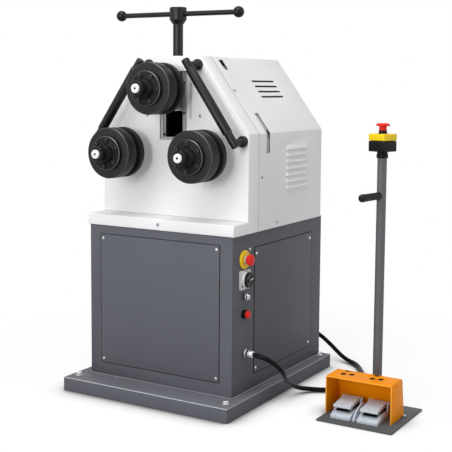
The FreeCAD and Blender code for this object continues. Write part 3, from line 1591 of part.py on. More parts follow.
def station_frame():
    """Floor plate, column with its foot, side grip and pedal guard."""
    half = "station_width / 2"
    across = (f"station_x - {half}", f"station_x + {half}")
    piece(block("station_plate", across, (STATION_FRONT, STATION_BACK), ("0", "station_plate")))
    inner = "column_radius - column_wall"
    piece(
        turned(
            "station_column", "Z",
            [
                (inner, "0"),
                ("column_foot_radius", "0"),
                ("column_foot_radius", "column_foot_height"),
                ("column_radius", "column_foot_height"),
                ("column_radius", "column_height"),
                (inner, "column_height"),
            ],
            COLUMN_X, COLUMN_Y, "station_plate",
        )
    )
    grip_z = "station_plate + grip_height"
    bar = turned(
        "grip_bar", "Z",
        [
            ("0", "0"),
            ("grip_radius", "0"),
            ("grip_radius + edge_break", "grip_length - 2 * grip_end_radius"),
            ("grip_end_radius", "grip_length - grip_end_radius"),
            (f"grip_end_radius * {ROUND_WIDE}", f"grip_length - grip_end_radius * {ROUND_MID}"),
            (f"grip_end_radius * {ROUND_MID}", f"grip_length - grip_end_radius * (1 - {ROUND_WIDE})"),
            ("0", "grip_length"),
        ],
    )
    turn = FreeCAD.Rotation(FreeCAD.Vector(0, 0, 1), GRIP_DIRECTION)
    bar.Placement = FreeCAD.Placement(FreeCAD.Vector(), turn)
    place(bar, COLUMN_X, COLUMN_Y, grip_z)
    clear = rod(
        "grip_clearance", "Z", "column_radius + fit_gap", "4 * grip_radius",
        COLUMN_X, COLUMN_Y, f"{grip_z} - 2 * grip_radius",
    )
    piece(cut("station_grip", bar, clear))


def station_head():
    """Emergency-stop box on the column, with its mushroom button."""
    low = COLUMN_TOP
    neck = turned(
        "head_socket", "Z",
        [
            ("0", "0"),
            ("head_gland_radius", "0"),
            ("head_gland_radius - edge_break", "head_gland_height"),
            ("0", "head_gland_height"),
        ],
        COLUMN_X, COLUMN_Y, low,
    )
    half = "head_box_width / 2"
    outline = [
        (f"-{half} + head_corner", f"-{half}"), (f"{half} - head_corner", f"-{half}"),
        (half, f"-{half} + head_corner"), (half, f"{half} - head_corner"),
        (f"{half} - head_corner", half), (f"-{half} + head_corner", half),
        (f"-{half}", f"{half} - head_corner"), (f"-{half}", f"-{half} + head_corner"),
    ]
    turn = FreeCAD.Rotation(FreeCAD.Vector(0, 0, 1), -size("head_turn"))
    base = padded("head_base", "XY_Plane", [outline], "head_base_height")
    base.Placement = FreeCAD.Placement(FreeCAD.Vector(), turn)
    place(base, COLUMN_X, COLUMN_Y, f"{low} + head_gland_height")
    bore = "mushroom_stem_radius + running_gap"
    cover_z = f"({low} + head_gland_height + head_base_height)"
    cover = padded("head_cover", "XY_Plane", [outline, ("circle", "0", "0", bore)], "head_cover_height")
    cover.Placement = FreeCAD.Placement(FreeCAD.Vector(), turn)
    place(cover, COLUMN_X, COLUMN_Y, cover_z)
    sleeve = turned(
        "head_sleeve", "Z",
        [
            (bore, "0"), ("mushroom_neck_radius", "0"),
            ("mushroom_neck_radius", "mushroom_neck_height"), (bore, "mushroom_neck_height"),
        ],
        COLUMN_X, COLUMN_Y, f"{cover_z} + head_cover_height",
    )
    piece(group("estop_box", fused("head_lower", neck, base), fused("head_upper", cover, sleeve)))
    stem_top = "mushroom_neck_height + mushroom_stem_height"
    top = f"({stem_top} + mushroom_height)"
    piece(
        turned(
            "station_mushroom", "Z",
            [
                ("0", "-4"),
                ("mushroom_stem_radius", "-4"),
                ("mushroom_stem_radius", stem_top),
                ("mushroom_radius - 1", stem_top),
                ("mushroom_radius", f"{stem_top} + 2"),
                ("mushroom_radius", f"{top} - 4"),
                ("mushroom_radius - 4", f"{top} - 1"),
                ("mushroom_radius - 10", top),
                ("0", top),
            ],
            COLUMN_X, COLUMN_Y, f"{cover_z} + head_cover_height",
        )
    )


def guard_profile(thickness):
    """The guard's side outline, moved inwards by a sheet thickness at the top and at the back."""
    run = f"(guard_depth - guard_lean - {thickness})"
    corner = (f"{GUARD_FRONT} + {run}", f"{GUARD_TOP} - {thickness}")
    fall = "(guard_back_height - guard_front_height) / (guard_depth - guard_lean)"
    bend = f"(guard_bend - {thickness})"
    return [
        (GUARD_FRONT, "station_plate"),
        (f"{GUARD_BACK} - {thickness}", "station_plate"),
        (f"{corner[0]} + {bend} * guard_lean / guard_back_height", f"{corner[1]} - {bend}"),
        (f"{corner[0]} - 0.29 * {bend}", f"{corner[1]} - 0.29 * {bend}"),
        (f"{corner[0]} - {bend}", f"{corner[1]} - {bend} * {fall}"),
        (GUARD_FRONT, f"{corner[1]} - {run} * {fall}"),
    ]


def guard_blank(label, thickness):
    """The guard's outer or inner form: its side outline crossed with its bent front outline."""
    half = f"(guard_width / 2 - {thickness})"
    bend = f"(guard_bend - {thickness})"
    across = (f"{GUARD_X} - {half}", f"{GUARD_X} + {half}")
    side = plate_x(f"{label}_side", [guard_profile(thickness)], *across)
    arch = [(half, "station_plate - edge_break")]
    level = f"({GUARD_TOP} - {thickness})"
    arch += [(f"{half} - {bend} * {inward}", f"{level} - {bend} * {down}") for inward, down in BEND]
    front = plate_y(f"{label}_arch", [mirrored_x(arch)], GUARD_FRONT, GUARD_BACK)
    place(front, GUARD_X, GUARD_BACK)
    return common(label, side, front)


def pedal_guard():
    """Folded hood over the pedals, open at the front, with round holes in its top."""
    low = f"({GUARD_TOP} - 3 * guard_sheet)"
    tools = [guard_blank("guard_room", "guard_sheet")]
    for side in (-1, 1):
        for number, (across, along) in enumerate(GUARD_HOLES):
            x = f"{PEDAL_MID} + {side} * guard_hole_spacing / 2 + ({across})"
            y = f"{GUARD_BACK} + ({along})"
            name = f"guard_hole_{'left' if side < 0 else 'right'}_{number}"
            tools.append(rod(name, "Z", "guard_hole_radius", "4 * guard_sheet", x, y, low))
    start = f"{GUARD_BACK} - guard_lean"
    tools.append(
        rod("guard_gland_hole", "Y", "gland_bore_radius", "guard_lean", GUARD_GLAND_X, start, GUARD_GLAND_Z)
    )
    piece(cut("pedal_guard", guard_blank("guard_form", "0"), *tools))


def pedals():
    """Two treadles on pins, and the cast base that carries them."""
    floor = "station_plate"
    front = f"({STATION_FRONT} + wedge_setback)"
    back = f"({PIN_Y} + pedal_hub_radius + ear_margin)"
    half = "(pedal_width / 2 + guide_gap + ear_thickness)"
    span = (f"{PEDAL_MID} - pedal_spacing / 2 - {half}", f"{PEDAL_MID} + pedal_spacing / 2 + {half}")
    members = [block("pedal_slab", span, (PEDAL_FRONT, back), (floor, f"{floor} + pedal_slab")), divider()]
    for side, name in ((-1, "left"), (1, "right")):
        centre = f"({PEDAL_MID} + {side} * pedal_spacing / 2)"
        wedge = [
            (front, floor),
            (back, floor),
            (back, f"{floor} + wedge_height"),
            (f"{front} + wedge_slope", f"{floor} + wedge_height"),
            (front, f"{floor} + wedge_lip"),
        ]
        members.append(plate_x(f"{name}_wedge", [wedge], f"{centre} - {half}", f"{centre} + {half}"))
        ear = [
            (f"{PIN_Y} - pedal_hub_radius - ear_margin", floor),
            (back, floor),
            (back, PIN_Z),
            (f"{PIN_Y} + pedal_hub_radius / 2", f"{PIN_Z} + pedal_hub_radius"),
            (f"{PIN_Y} - pedal_hub_radius / 2", f"{PIN_Z} + pedal_hub_radius"),
            (f"{PIN_Y} - pedal_hub_radius - ear_margin", PIN_Z),
        ]
        for hand in (-1, 1):
            middle = f"{centre} + {hand} * ({half} - ear_thickness / 2)"
            label = f"{name}_ear_{'a' if hand < 0 else 'b'}"
            faces = (f"{middle} - ear_thickness / 2", f"{middle} + ear_thickness / 2")
            members.append(plate_x(label, [ear], *faces))
        members.append(
            rod(
                f"{name}_pin", "X", "pedal_pin_radius", f"2 * ({half} + pin_overhang)",
                f"{centre} - {half} - pin_overhang", PIN_Y, PIN_Z,
            )
        )
        piece(pedal(f"{name}_pedal", centre))
    piece(fused("pedal_base", *members))


def divider():
    """The thin web between the treadles, its front edge a quarter of an ellipse."""
    steps = 7
    back = f"({STATION_FRONT} + wedge_setback + divider_reach)"
    points = [(back, "station_plate")]
    for number in range(steps, -1, -1):
        turn = math.pi / 2 * number / steps
        points.append(
            (
                f"{back} - divider_reach * {math.cos(turn):.4f}",
                f"station_plate + divider_height * {math.sin(turn):.4f}",
            )
        )
    points.pop()
    points.append((f"{back} - divider_reach", "station_plate"))
    half = "divider_thickness / 2"
    return plate_x("pedal_divider", [points], f"{PEDAL_MID} - {half}", f"{PEDAL_MID} + {half}")


def pedal(label, centre):
    """One treadle: a sloping plate with side skirts and the hub that turns on the pin."""
    hinge_top = f"({PIN_Z} + pedal_hub_radius)"
    back = f"({PIN_Y} - pedal_flat)"
    front_top = "(station_plate + pedal_front_height)"
    slope = f"(({hinge_top} - {front_top}) / (pedal_length - pedal_flat))"

    def under(y, drop):
        return f"({front_top} + {slope} * ({y} - {PEDAL_FRONT}) - ({drop}))"

    plate = [
        (PEDAL_FRONT, under(PEDAL_FRONT, "pedal_thickness")),
        (back, under(back, "pedal_thickness")),
        (PIN_Y, f"{hinge_top} - pedal_thickness"),
        (PIN_Y, hinge_top),
        (back, hinge_top),
        (f"{PEDAL_FRONT} + edge_break", under(f"{PEDAL_FRONT} + edge_break", "0")),
        (PEDAL_FRONT, under(PEDAL_FRONT, "edge_break")),
    ]
    low, high = f"{centre} - pedal_width / 2", f"{centre} + pedal_width / 2"
    members = [plate_x(f"{label}_plate", [plate], low, high)]
    near, far = f"({PEDAL_FRONT} + pedal_skirt)", back
    skirt = [
        (near, under(near, "pedal_thickness + pedal_skirt")),
        (far, under(far, "pedal_thickness + pedal_skirt")),
        (far, under(far, "pedal_thickness / 2")),
        (near, under(near, "pedal_thickness / 2")),
    ]
    members.append(plate_x(f"{label}_skirt_a", [skirt], low, f"{low} + pedal_skirt_width"))
    members.append(plate_x(f"{label}_skirt_b", [skirt], f"{high} - pedal_skirt_width", high))
    members.append(rod(f"{label}_hub", "X", "pedal_hub_radius", "pedal_width", low, PIN_Y, PIN_Z))
    bore = rod(f"{label}_bore", "X", "pedal_pin_radius + running_gap", "pedal_width", low, PIN_Y, PIN_Z)
    return cut(label, fused(f"{label}_blank", *members), bore)


# ---------------------------------------------------------------- glands and cables


def gland(name, axis, x, y, z):
    """A cable gland on a wall: hexagon, domed cap and bore."""
    hexagon = doc.addObject("Part::Prism", f"{name}_hexagon")
    hexagon.Polygon = 6
    hexagon.Placement = FreeCAD.Placement(FreeCAD.Vector(), TURNS[axis])
    bind(hexagon, Circumradius="gland_radius", Height="gland_hexagon")
    place(hexagon, x, y, z)
    points = [
        ("0", "0"),
        ("gland_cap_radius", "0"),
        ("gland_cap_radius", "gland_length - gland_dome"),
        ("gland_bore_radius + gland_lip", "gland_length"),
        ("0", "gland_length"),
    ]
    if axis == "X":
        points = [(along, radius) for radius, along in points]
    cap = turned(f"{name}_cap", axis, points, x, y, z)
    bore = rod(f"{name}_bore", axis, "gland_bore_radius", "gland_length", x, y, z)
    return cut(name, fused(f"{name}_body", hexagon, cap), bore)


def glands():
    """One gland where each cable leaves the cabinet and where it enters the pedal station."""
    side = gland("side_gland", "X", CABINET_HALF, SIDE_GLAND_Y, SIDE_GLAND_Z)
    rear = gland("rear_gland", "Y", "rear_gland_x", f"{CABINET_BACK} + door_sheet", REAR_GLAND_Z)
    blank = gland("guard_gland_blank", "Y", GUARD_GLAND_X, f"{GUARD_BACK} - gland_seat", GUARD_GLAND_Z)
    across = (f"{GUARD_GLAND_X} - 2 * gland_radius", f"{GUARD_GLAND_X} + 2 * gland_radius")
    guard = cut("guard_gland", blank, plate_x("guard_gland_seat", [guard_profile("0")], *across))
    column_z = "station_plate + column_foot_height + gland_radius + gland_clearance"
    start = f"{COLUMN_Y} + column_radius - gland_seat"
    blank = gland("column_gland_blank", "Y", COLUMN_X, start, column_z)
    seat = rod(
        "column_gland_seat", "Z", "column_radius + fit_gap", "4 * gland_radius", COLUMN_X, COLUMN_Y, "0"
    )
    piece(group("cable_glands", side, rear, guard, cut("column_gland", blank, seat)))


SIDE_ROUTE = [
    (280, -190, 168), (328, -190, 168), (368, -172, 146), (383, -141, 111), (360, -73, 61), (356, 10, 20),
    (383, 52, 9), (424, 71, 8), (468, 107, 8), (530, 106, 15), (572, 62, 30), (572, -10, 30),
]
REAR_ROUTE = [
    (170, 368, 110), (170, 425, 110), (201, 468, 87), (248, 475, 54), (333, 431, 12), (398, 403, 8),
    (458, 303, 8), (528, 199, 8), (590, 146, 8), (626, 96, 28), (626, 44, 28),
]


def cable(label, route):
    """A cable's tube: straight runs joined by tangent arcs as large as the two runs allow."""
    points = [FreeCAD.Vector(*point) for point in route]
    edges = []
    start = points[0]
    smallest = math.inf
    for before, corner, after in zip(points, points[1:], points[2:]):
        arriving, leaving = corner - before, after - corner
        reach = 0.45 * min(arriving.Length, leaving.Length)
        half_turn = arriving.getAngle(leaving) / 2
        smallest = min(smallest, reach / math.tan(half_turn))
        arriving.normalize()
        leaving.normalize()
        entry, leave = corner - arriving * reach, corner + leaving * reach
        inward = (leaving - arriving).normalize()
        radius = reach / math.tan(half_turn)
        middle = corner + inward * (radius / math.cos(half_turn) - radius)
        edges += [Part.LineSegment(start, entry).toShape(), Part.Arc(entry, middle, leave).toShape()]
        start = leave
    edges.append(Part.LineSegment(start, points[-1]).toShape())
    path = Part.Wire(edges)
    section = Part.Wire(Part.makeCircle(size("cable_radius"), points[0], points[1] - points[0]))
    tube = doc.addObject("Part::Feature", label)
    tube.Shape = path.makePipeShell([section], True, False)
    expected = math.pi * size("cable_radius") ** 2 * path.Length
    print(f"{label}: {path.Length:.0f} mm long, smallest bend {smallest:.0f} mm, "
          f"volume {tube.Shape.Volume / expected:.4f} of section times length")
    piece(tube)


def cables():
    """Control cables from the cabinet to the pedal switches and to the emergency-stop box."""
    cable("side_cable", SIDE_ROUTE)
    cable("rear_cable", REAR_ROUTE)


# ---------------------------------------------------------------- assembly


def main():
    """Builds every piece, checks it and writes it to its own STEP file."""
    for step in (
        plinth, cabinet, front_panel, hood_shell, head_frame, bearings, rolls, gears, gearmotor,
        slide, screw,
        side_controls, station_frame, station_head, pedal_guard, pedals, glands, cables,
    ):
        step()
    grab_bar("left_grab_bar", -1)
    grab_bar("right_grab_bar", 1)
    doc.recompute()
    for thing in doc.Objects:
        if "Invalid" in thing.State or "Error" in thing.State:
            raise RuntimeError(f"{thing.Label} did not build: {thing.State}")
    os.makedirs("parts", exist_ok=True)
    for thing in PIECES:
        if thing.Shape.isNull() or not thing.Shape.isValid():
            raise RuntimeError(f"{thing.Label} has no valid shape")
        thing.Shape.exportStep(f"parts/{thing.Label}.step")
    print(f"{len(PIECES)} pieces written")


main()
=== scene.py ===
"""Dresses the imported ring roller: its finishes, cables, fasteners and edges.

The machine faces -Y and the floor is z = 0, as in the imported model. Sizes are in millimetres,
apart from those of the studio, the cables and the finishes' patterns, which are in metres.
"""

import json
import logging
import math
from collections.abc import Callable, Iterable, Sequence
from dataclasses import dataclass
from enum import Enum

import bpy
from mathutils import Matrix, Vector

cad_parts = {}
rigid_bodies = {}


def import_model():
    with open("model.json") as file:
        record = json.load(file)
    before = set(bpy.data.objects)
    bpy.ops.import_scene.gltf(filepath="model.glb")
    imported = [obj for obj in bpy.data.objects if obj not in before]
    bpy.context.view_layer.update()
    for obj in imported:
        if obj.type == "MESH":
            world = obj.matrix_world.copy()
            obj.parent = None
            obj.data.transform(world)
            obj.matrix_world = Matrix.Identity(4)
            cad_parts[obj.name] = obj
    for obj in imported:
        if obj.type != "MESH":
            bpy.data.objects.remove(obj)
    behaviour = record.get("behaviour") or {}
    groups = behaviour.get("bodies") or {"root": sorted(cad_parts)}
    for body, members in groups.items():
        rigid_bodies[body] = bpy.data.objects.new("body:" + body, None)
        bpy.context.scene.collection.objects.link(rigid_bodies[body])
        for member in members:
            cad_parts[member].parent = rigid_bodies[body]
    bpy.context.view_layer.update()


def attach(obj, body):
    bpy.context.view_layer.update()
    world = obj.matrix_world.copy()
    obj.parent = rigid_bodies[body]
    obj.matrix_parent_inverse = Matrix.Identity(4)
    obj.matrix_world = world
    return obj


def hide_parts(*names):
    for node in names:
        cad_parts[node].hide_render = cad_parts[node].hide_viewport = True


LOG = logging.getLogger("ring_roller")
MM = 0.001
# How near two places count as one, in millimetres.
TOUCH = 0.001
# The normal of a bevelled edge's faces has a share between these along the edge's axis.
SLANT_LEAST = 0.25
SLANT_MOST = 0.97

Colour = tuple[float, float, float]
Place = tuple[float, float, float]
Profile = Sequence[tuple[float, float]]
Stops = Sequence[tuple[float, float]]

ORIGIN: Place = (0.0, 0.0, 0.0)
FORWARD: Place = (0.0, -1.0, 0.0)
BACKWARD: Place = (0.0, 1.0, 0.0)
RIGHTWARD: Place = (1.0, 0.0, 0.0)
EVEN: Place = (1.0, 1.0, 1.0)


# ---------------------------------------------------------------- shader maths


class Shade:
    """An output socket that takes part in arithmetic."""

    def __init__(self, book: "NodeBook", socket: bpy.types.NodeSocket) -> None:
        """Wraps a socket.

        Args:
            book: The finish whose nodes are being written.
            socket: The output that this value is read from.
        """
        self.book = book
        self.socket = socket

    def maths(self, operation: str, first: "Value", second: "Value" = 0.0) -> "Shade":
        """One Math node.

        Args:
            operation: The Math node's operation.
            first: Its first value.
            second: Its second value.

        Returns:
            The node's result.
        """
        return self.book.node("ShaderNodeMath", {"operation": operation}, {0: first, 1: second})

    def __add__(self, other: "Value") -> "Shade":
        """self + other."""
        return self.maths("ADD", self, other)

    def __radd__(self, other: "Value") -> "Shade":
        """other + self."""
        return self.maths("ADD", other, self)

    def __sub__(self, other: "Value") -> "Shade":
        """self - other."""
        return self.maths("SUBTRACT", self, other)

    def __rsub__(self, other: "Value") -> "Shade":
        """other - self."""
        return self.maths("SUBTRACT", other, self)

    def __mul__(self, other: "Value") -> "Shade":
        """self * other."""
        return self.maths("MULTIPLY", self, other)

    def __rmul__(self, other: "Value") -> "Shade":
        """other * self."""
        return self.maths("MULTIPLY", other, self)

    def __truediv__(self, other: "Value") -> "Shade":
        """self / other."""
        return self.maths("DIVIDE", self, other)

    def __pow__(self, other: "Value") -> "Shade":
        """self to the power of other."""
        return self.maths("POWER", self, other)

    def sine(self) -> "Shade":
        """Its sine, in radians."""
        return self.maths("SINE", self)


Value = Shade | float


def distance(across: Shade, along: Shade) -> Shade:
    """How far a point with two coordinates is from their origin."""
    return (across * across + along * along) ** 0.5


class NodeBook:
    """The node tree of a material or of the world."""

    def __init__(self, owner: "bpy.types.Material | bpy.types.World") -> None:
        """Empties the owner's tree, to be written anew.

        Args:
            owner: The material or world.
        """
        owner.use_nodes = True
        self.owner = owner
        self.tree = owner.node_tree
        self.tree.nodes.clear()

    def node(
        self,
        kind: str,
        settings: dict[str, object] | None = None,
        inputs: dict[str | int, object] | None = None,
        output: str | int = 0,
    ) -> Shade:
        """Adds one node.

        Args:
            kind: The node's type.
            settings: Its properties, set first; "stops" are a ramp's (position, value) pairs.
            inputs: Values or links of its sockets.
            output: The socket to return.

        Returns:
            The chosen output.
        """
        made = self.tree.nodes.new(kind)
        for name, value in (settings or {}).items():
            if name == "stops":
                self._stops(made.color_ramp, value)
            else:
                setattr(made, name, value)
        for key, value in (inputs or {}).items():
            if isinstance(value, Shade):
                self.tree.links.new(value.socket, made.inputs[key])
            else:
                made.inputs[key].default_value = value
        return Shade(self, made.outputs[output])

    @staticmethod
    def _stops(ramp: bpy.types.ColorRamp, stops: Stops) -> None:
        """Sets a ramp's stops.

        Args:
            ramp: The ramp.
            stops: Pairs of a position and a grey value.
        """
        while len(ramp.elements) < len(stops):
            ramp.elements.new(1.0)
        for element, (position, value) in zip(ramp.elements, stops):
            element.position = position
            element.color = (value, value, value, 1.0)

    def place(self) -> Shade:
        """Where a point is on the object, in metres."""
        return self.node("ShaderNodeTexCoord", output="Object")

    def split(self, axis: str) -> Shade:
        """One coordinate of a point.

        Args:
            axis: X, Y or Z.

        Returns:
            The coordinate, in metres.
        """
        return self.node("ShaderNodeSeparateXYZ", inputs={0: self.place()}, output=axis)

    def noise(self, per_metre: float, detail: float = 3.0, stretch: Place = EVEN) -> Shade:
        """Noise over the object, from 0 to 1.

        Args:
            per_metre: How many features a metre holds.
            detail: Its octaves.
            stretch: How much finer it is along each axis.

        Returns:
            The noise.
        """
        scaled = self.node("ShaderNodeMapping", inputs={"Vector": self.place(), "Scale": stretch})
        return self.node(
            "ShaderNodeTexNoise", inputs={"Vector": scaled, "Scale": per_metre, "Detail": detail}
        )

    def ramp(self, value: Shade, *stops: tuple[float, float]) -> Shade:
        """A value taken through a grey ramp.

        Args:
            value: What is read.
            stops: Pairs of a position and a value.

        Returns:
            The ramp's grey.
        """
        return self.node("ShaderNodeValToRGB", {"stops": stops}, {0: value})

    def blend(self, mask: Value, first: "Colour | Shade", second: "Colour | Shade") -> Shade:
        """A colour between two.

        Args:
            mask: 0 gives the first colour and 1 the second.
            first: A colour.
            second: A colour.

        Returns:
            The mixed colour.
        """
        inputs: dict[str | int, object] = {"Factor": mask}
        for key, colour in ((6, first), (7, second)):
            inputs[key] = colour if isinstance(colour, Shade) else (*colour, 1.0)
        return self.node("ShaderNodeMix", {"data_type": "RGBA"}, inputs, output=2)

    def bump(self, height: Shade, depth: float, strength: float = 1.0) -> Shade:
        """A normal pushed by a height.

        Args:
            height: The height, from 0 to 1.
            depth: What a height of 1 stands for, in metres.
            strength: How much of it is kept.

        Returns:
            The normal.
        """
        return self.node(
            "ShaderNodeBump", inputs={"Strength": strength, "Distance": depth, "Height": height}
        )

    def surface(self, **sockets: object) -> bpy.types.Material:
        """Ends the tree in a Principled shader.

        Args:
            sockets: Its sockets, with "_" for a space; colours may have three numbers.

        Returns:
            The finished material.
        """
        inputs: dict[str | int, object] = {}
        for name, value in sockets.items():
            inputs[name.replace("_", " ")] = (*value, 1.0) if isinstance(value, tuple) else value
        shader = self.node("ShaderNodeBsdfPrincipled", inputs=inputs)
        return self.ends(shader)

    def seen_rays(self) -> Shade:
        """1 for the rays of the camera, of gloss and of transmission, else 0."""
        seen = self.node("ShaderNodeLightPath", output="Is Camera Ray")
        for ray in ("Is Glossy Ray", "Is Transmission Ray"):
            seen = seen.maths("MAXIMUM", seen, self.node("ShaderNodeLightPath", output=ray))
        return seen

    def mixed(self, share: Shade, first: Shade, second: Shade) -> Shade:
        """Two shaders mixed: a share of 0 gives the first and 1 the second."""
        return self.node("ShaderNodeMixShader", inputs={0: share, 1: first, 2: second})

    def ends(self, shader: Shade, output: str = "ShaderNodeOutputMaterial") -> bpy.types.ID:
        """Links a shader to the tree's output.

        Args:
            shader: The shader.
            output: The output node's type.

        Returns:
            The material or world.
        """
        out = self.tree.nodes.new(output)
        self.tree.links.new(shader.socket, out.inputs["Surface"])
        return self.owner


# ---------------------------------------------------------------- finishes


@dataclass(frozen=True)
class Finish:
    """A surface finish, made into a material the first time that a piece asks for it."""

    name: str
    colour: Colour
    roughness: float = 0.5

    def write(self, book: NodeBook) -> bpy.types.Material:
        """Writes the finish's nodes.

        Args:
            book: The empty tree that they go in.

        Returns:
            The material.
        """
        return book.surface(Base_Color=self.colour, Roughness=self.roughness)

    def material(self) -> bpy.types.Material:
        """The finish's material."""
        known = bpy.data.materials.get(self.name)
        return known or self.write(NodeBook(bpy.data.materials.new(self.name)))

    def shaded(self, share: float) -> Colour:
        """The colour made darker or lighter by a share."""
        return tuple(min(1.0, part * share) for part in self.colour)

    def mottled(self, mask: Shade, dark: float, light: float) -> Shade:
        """The colour, between a darker and a lighter share of itself."""
        return mask.book.blend(mask, self.shaded(dark), self.shaded(light))

    def uneven(self, mask: Shade, spread: float) -> Shade:
        """The roughness, spread about its middle."""
        return self.roughness + (mask - 0.5) * spread


@dataclass(frozen=True)
class PowderCoat(Finish):
    """Sprayed and baked paint: a fine orange peel, with slight clouds in its gloss and colour.

    The peel is how deep its pebbles are, and the pebble how many of them a metre holds.
    """

    peel: float = 0.00006
    pebble: float = 900.0
    cloud: float = 0.03
    gloss: float = 0.4

    def write(self, book: NodeBook) -> bpy.types.Material:
        """Writes the finish's nodes.

        Args:
            book: The empty tree that they go in.

        Returns:
            The material.
        """
        cloud = book.noise(per_metre=7.0, detail=4.0)
        gloss_cloud = book.noise(per_metre=60.0)
        peel = book.noise(per_metre=self.pebble, detail=2.0)
        return book.surface(
            Base_Color=self.mottled(cloud, 1 - self.cloud, 1 + self.cloud),
            Roughness=self.uneven(gloss_cloud, 0.12),
            Specular_IOR_Level=self.gloss,
            Normal=book.bump(peel, self.peel),
        )


@dataclass(frozen=True)
class TurnedSteel(Finish):
    """Lathe-turned steel with fine rings about an axis along Y, blacked or left bright."""

    centre: tuple[float, float] = (0.0, 0.0)
    rings: float = 4200.0
    depth: float = 0.00002
    metal: float = 0.85
    smear: float = 0.25
    streak: Place = (1.0, 0.15, 1.0)
    gloss: float = 0.12

    def write(self, book: NodeBook) -> bpy.types.Material:
        """Writes the finish's nodes.

        Args:
            book: The empty tree that they go in.

        Returns:
            The material.
        """
        radius = distance(book.split("X") - self.centre[0], book.split("Z") - self.centre[1])
        rings = ((radius + book.split("Y")) * self.rings).sine() * 0.5 + 0.5
        cloud = book.noise(per_metre=35.0, detail=4.0)
        streaks = book.noise(per_metre=220.0, stretch=self.streak)
        return book.surface(
            Base_Color=self.mottled(streaks, 1 - self.smear, 1 + self.smear),
            Roughness=self.uneven(cloud, 0.25),
            Metallic=self.metal,
            Specular_IOR_Level=self.gloss,
            Normal=book.bump(rings, self.depth, strength=0.6),
        )


@dataclass(frozen=True)
class Moulded(Finish):
    """Moulded plastic with a faint spark-eroded grain."""

    grain: float = 0.00003
    sheen: float = 0.5

    def write(self, book: NodeBook) -> bpy.types.Material:
        """Writes the finish's nodes.

        Args:
            book: The empty tree that they go in.

        Returns:
            The material.
        """
        grain = book.noise(per_metre=2400.0, detail=2.0)
        rub = book.noise(per_metre=90.0)
        return book.surface(
            Base_Color=self.mottled(rub, 0.94, 1.05),
            Roughness=self.uneven(rub, 0.1),
            Specular_IOR_Level=self.sheen,
            Normal=book.bump(grain, self.grain),
        )


@dataclass(frozen=True)
class BrightMetal(Finish):
    """Plated or ground metal with hairline scratches."""

    scratch: Place = (1.0, 1.0, 12.0)
    depth: float = 0.00001
    metal: float = 1.0

    def write(self, book: NodeBook) -> bpy.types.Material:
        """Writes the finish's nodes.

        Args:
            book: The empty tree that they go in.

        Returns:
            The material.
        """
        hairs = book.noise(per_metre=900.0, stretch=self.scratch)
        stain = book.noise(per_metre=50.0, detail=4.0)
        return book.surface(
            Base_Color=self.mottled(stain, 0.9, 1.06),
            Roughness=self.uneven(stain, 0.12),
            Metallic=self.metal,
            Normal=book.bump(hairs, self.depth),
        )


@dataclass(frozen=True)
class CastMetal(Finish):
    """As-cast light alloy: sandy, pitted and slightly mottled."""

    sand: float = 0.00022
    metal: float = 0.35

    def write(self, book: NodeBook) -> bpy.types.Material:
        """Writes the finish's nodes.

        Args:
            book: The empty tree that they go in.

        Returns:
            The material.
        """
        sand = book.noise(per_metre=650.0, detail=5.0)
        blotches = book.ramp(book.noise(per_metre=260.0, detail=5.0), (0.34, 0.0), (0.66, 1.0))
        return book.surface(
            Base_Color=self.mottled(blotches, 0.78, 1.16),
            Roughness=self.uneven(sand, 0.2),
            Metallic=self.metal,
            Normal=book.bump(sand, self.sand),
        )


@dataclass(frozen=True)
class Sheath(Finish):
    """Flexible cable sheath with a fine grain and a little dust."""

    grain: float = 0.00002
    gloss: float = 0.06

    def write(self, book: NodeBook) -> bpy.types.Material:
        """Writes the finish's nodes.

        Args:
            book: The empty tree that they go in.

        Returns:
            The material.
        """
        grain = book.noise(per_metre=1300.0, detail=2.0)
        dust = book.noise(per_metre=45.0)
        return book.surface(
            Base_Color=self.mottled(dust, 0.8, 1.3),
            Roughness=self.uneven(dust, 0.12),
            Specular_IOR_Level=self.gloss,
            Normal=book.bump(grain, self.grain),
        )


HOUSING_WHITE = PowderCoat("housing_white_coat", (0.80, 0.80, 0.81), 0.42)
CABINET_GREY = PowderCoat("cabinet_grey_coat", (0.108, 0.111, 0.129), 0.5, pebble=1300.0, gloss=0.1)
# Painted light on the cabinet grey: a lighter grey for top faces, and lighter greys for highlights on edges,
# brightest at the front.
TOP_LIT_GREY = PowderCoat("dusty_grey_coat", (0.148, 0.152, 0.172), 0.52, cloud=0.1, gloss=0.1)
EDGE_HIGHLIGHT_GREY = PowderCoat("worn_grey_coat", (0.27, 0.275, 0.30), 0.42)
FRONT_HIGHLIGHT_GREY = PowderCoat("rubbed_grey_coat", (0.40, 0.41, 0.44), 0.4)
# The frames inside the hood: the white coat greyed as painted shade.
FRAME_SHADED_WHITE = PowderCoat("frame_grey_coat", (0.42, 0.43, 0.44), 0.5)
COLUMN_GREY = PowderCoat("column_grey_coat", (0.105, 0.107, 0.114), 0.3, gloss=0.3)
STATION_GREY = PowderCoat(
    "station_grey_coat", (0.085, 0.089, 0.095), 0.55, peel=0.0002, cloud=0.2, gloss=0.2
)
GUARD_ORANGE = PowderCoat(
    "guard_orange_coat", (0.92, 0.29, 0.003), 0.4, peel=0.00009, cloud=0.04, gloss=0.05
)
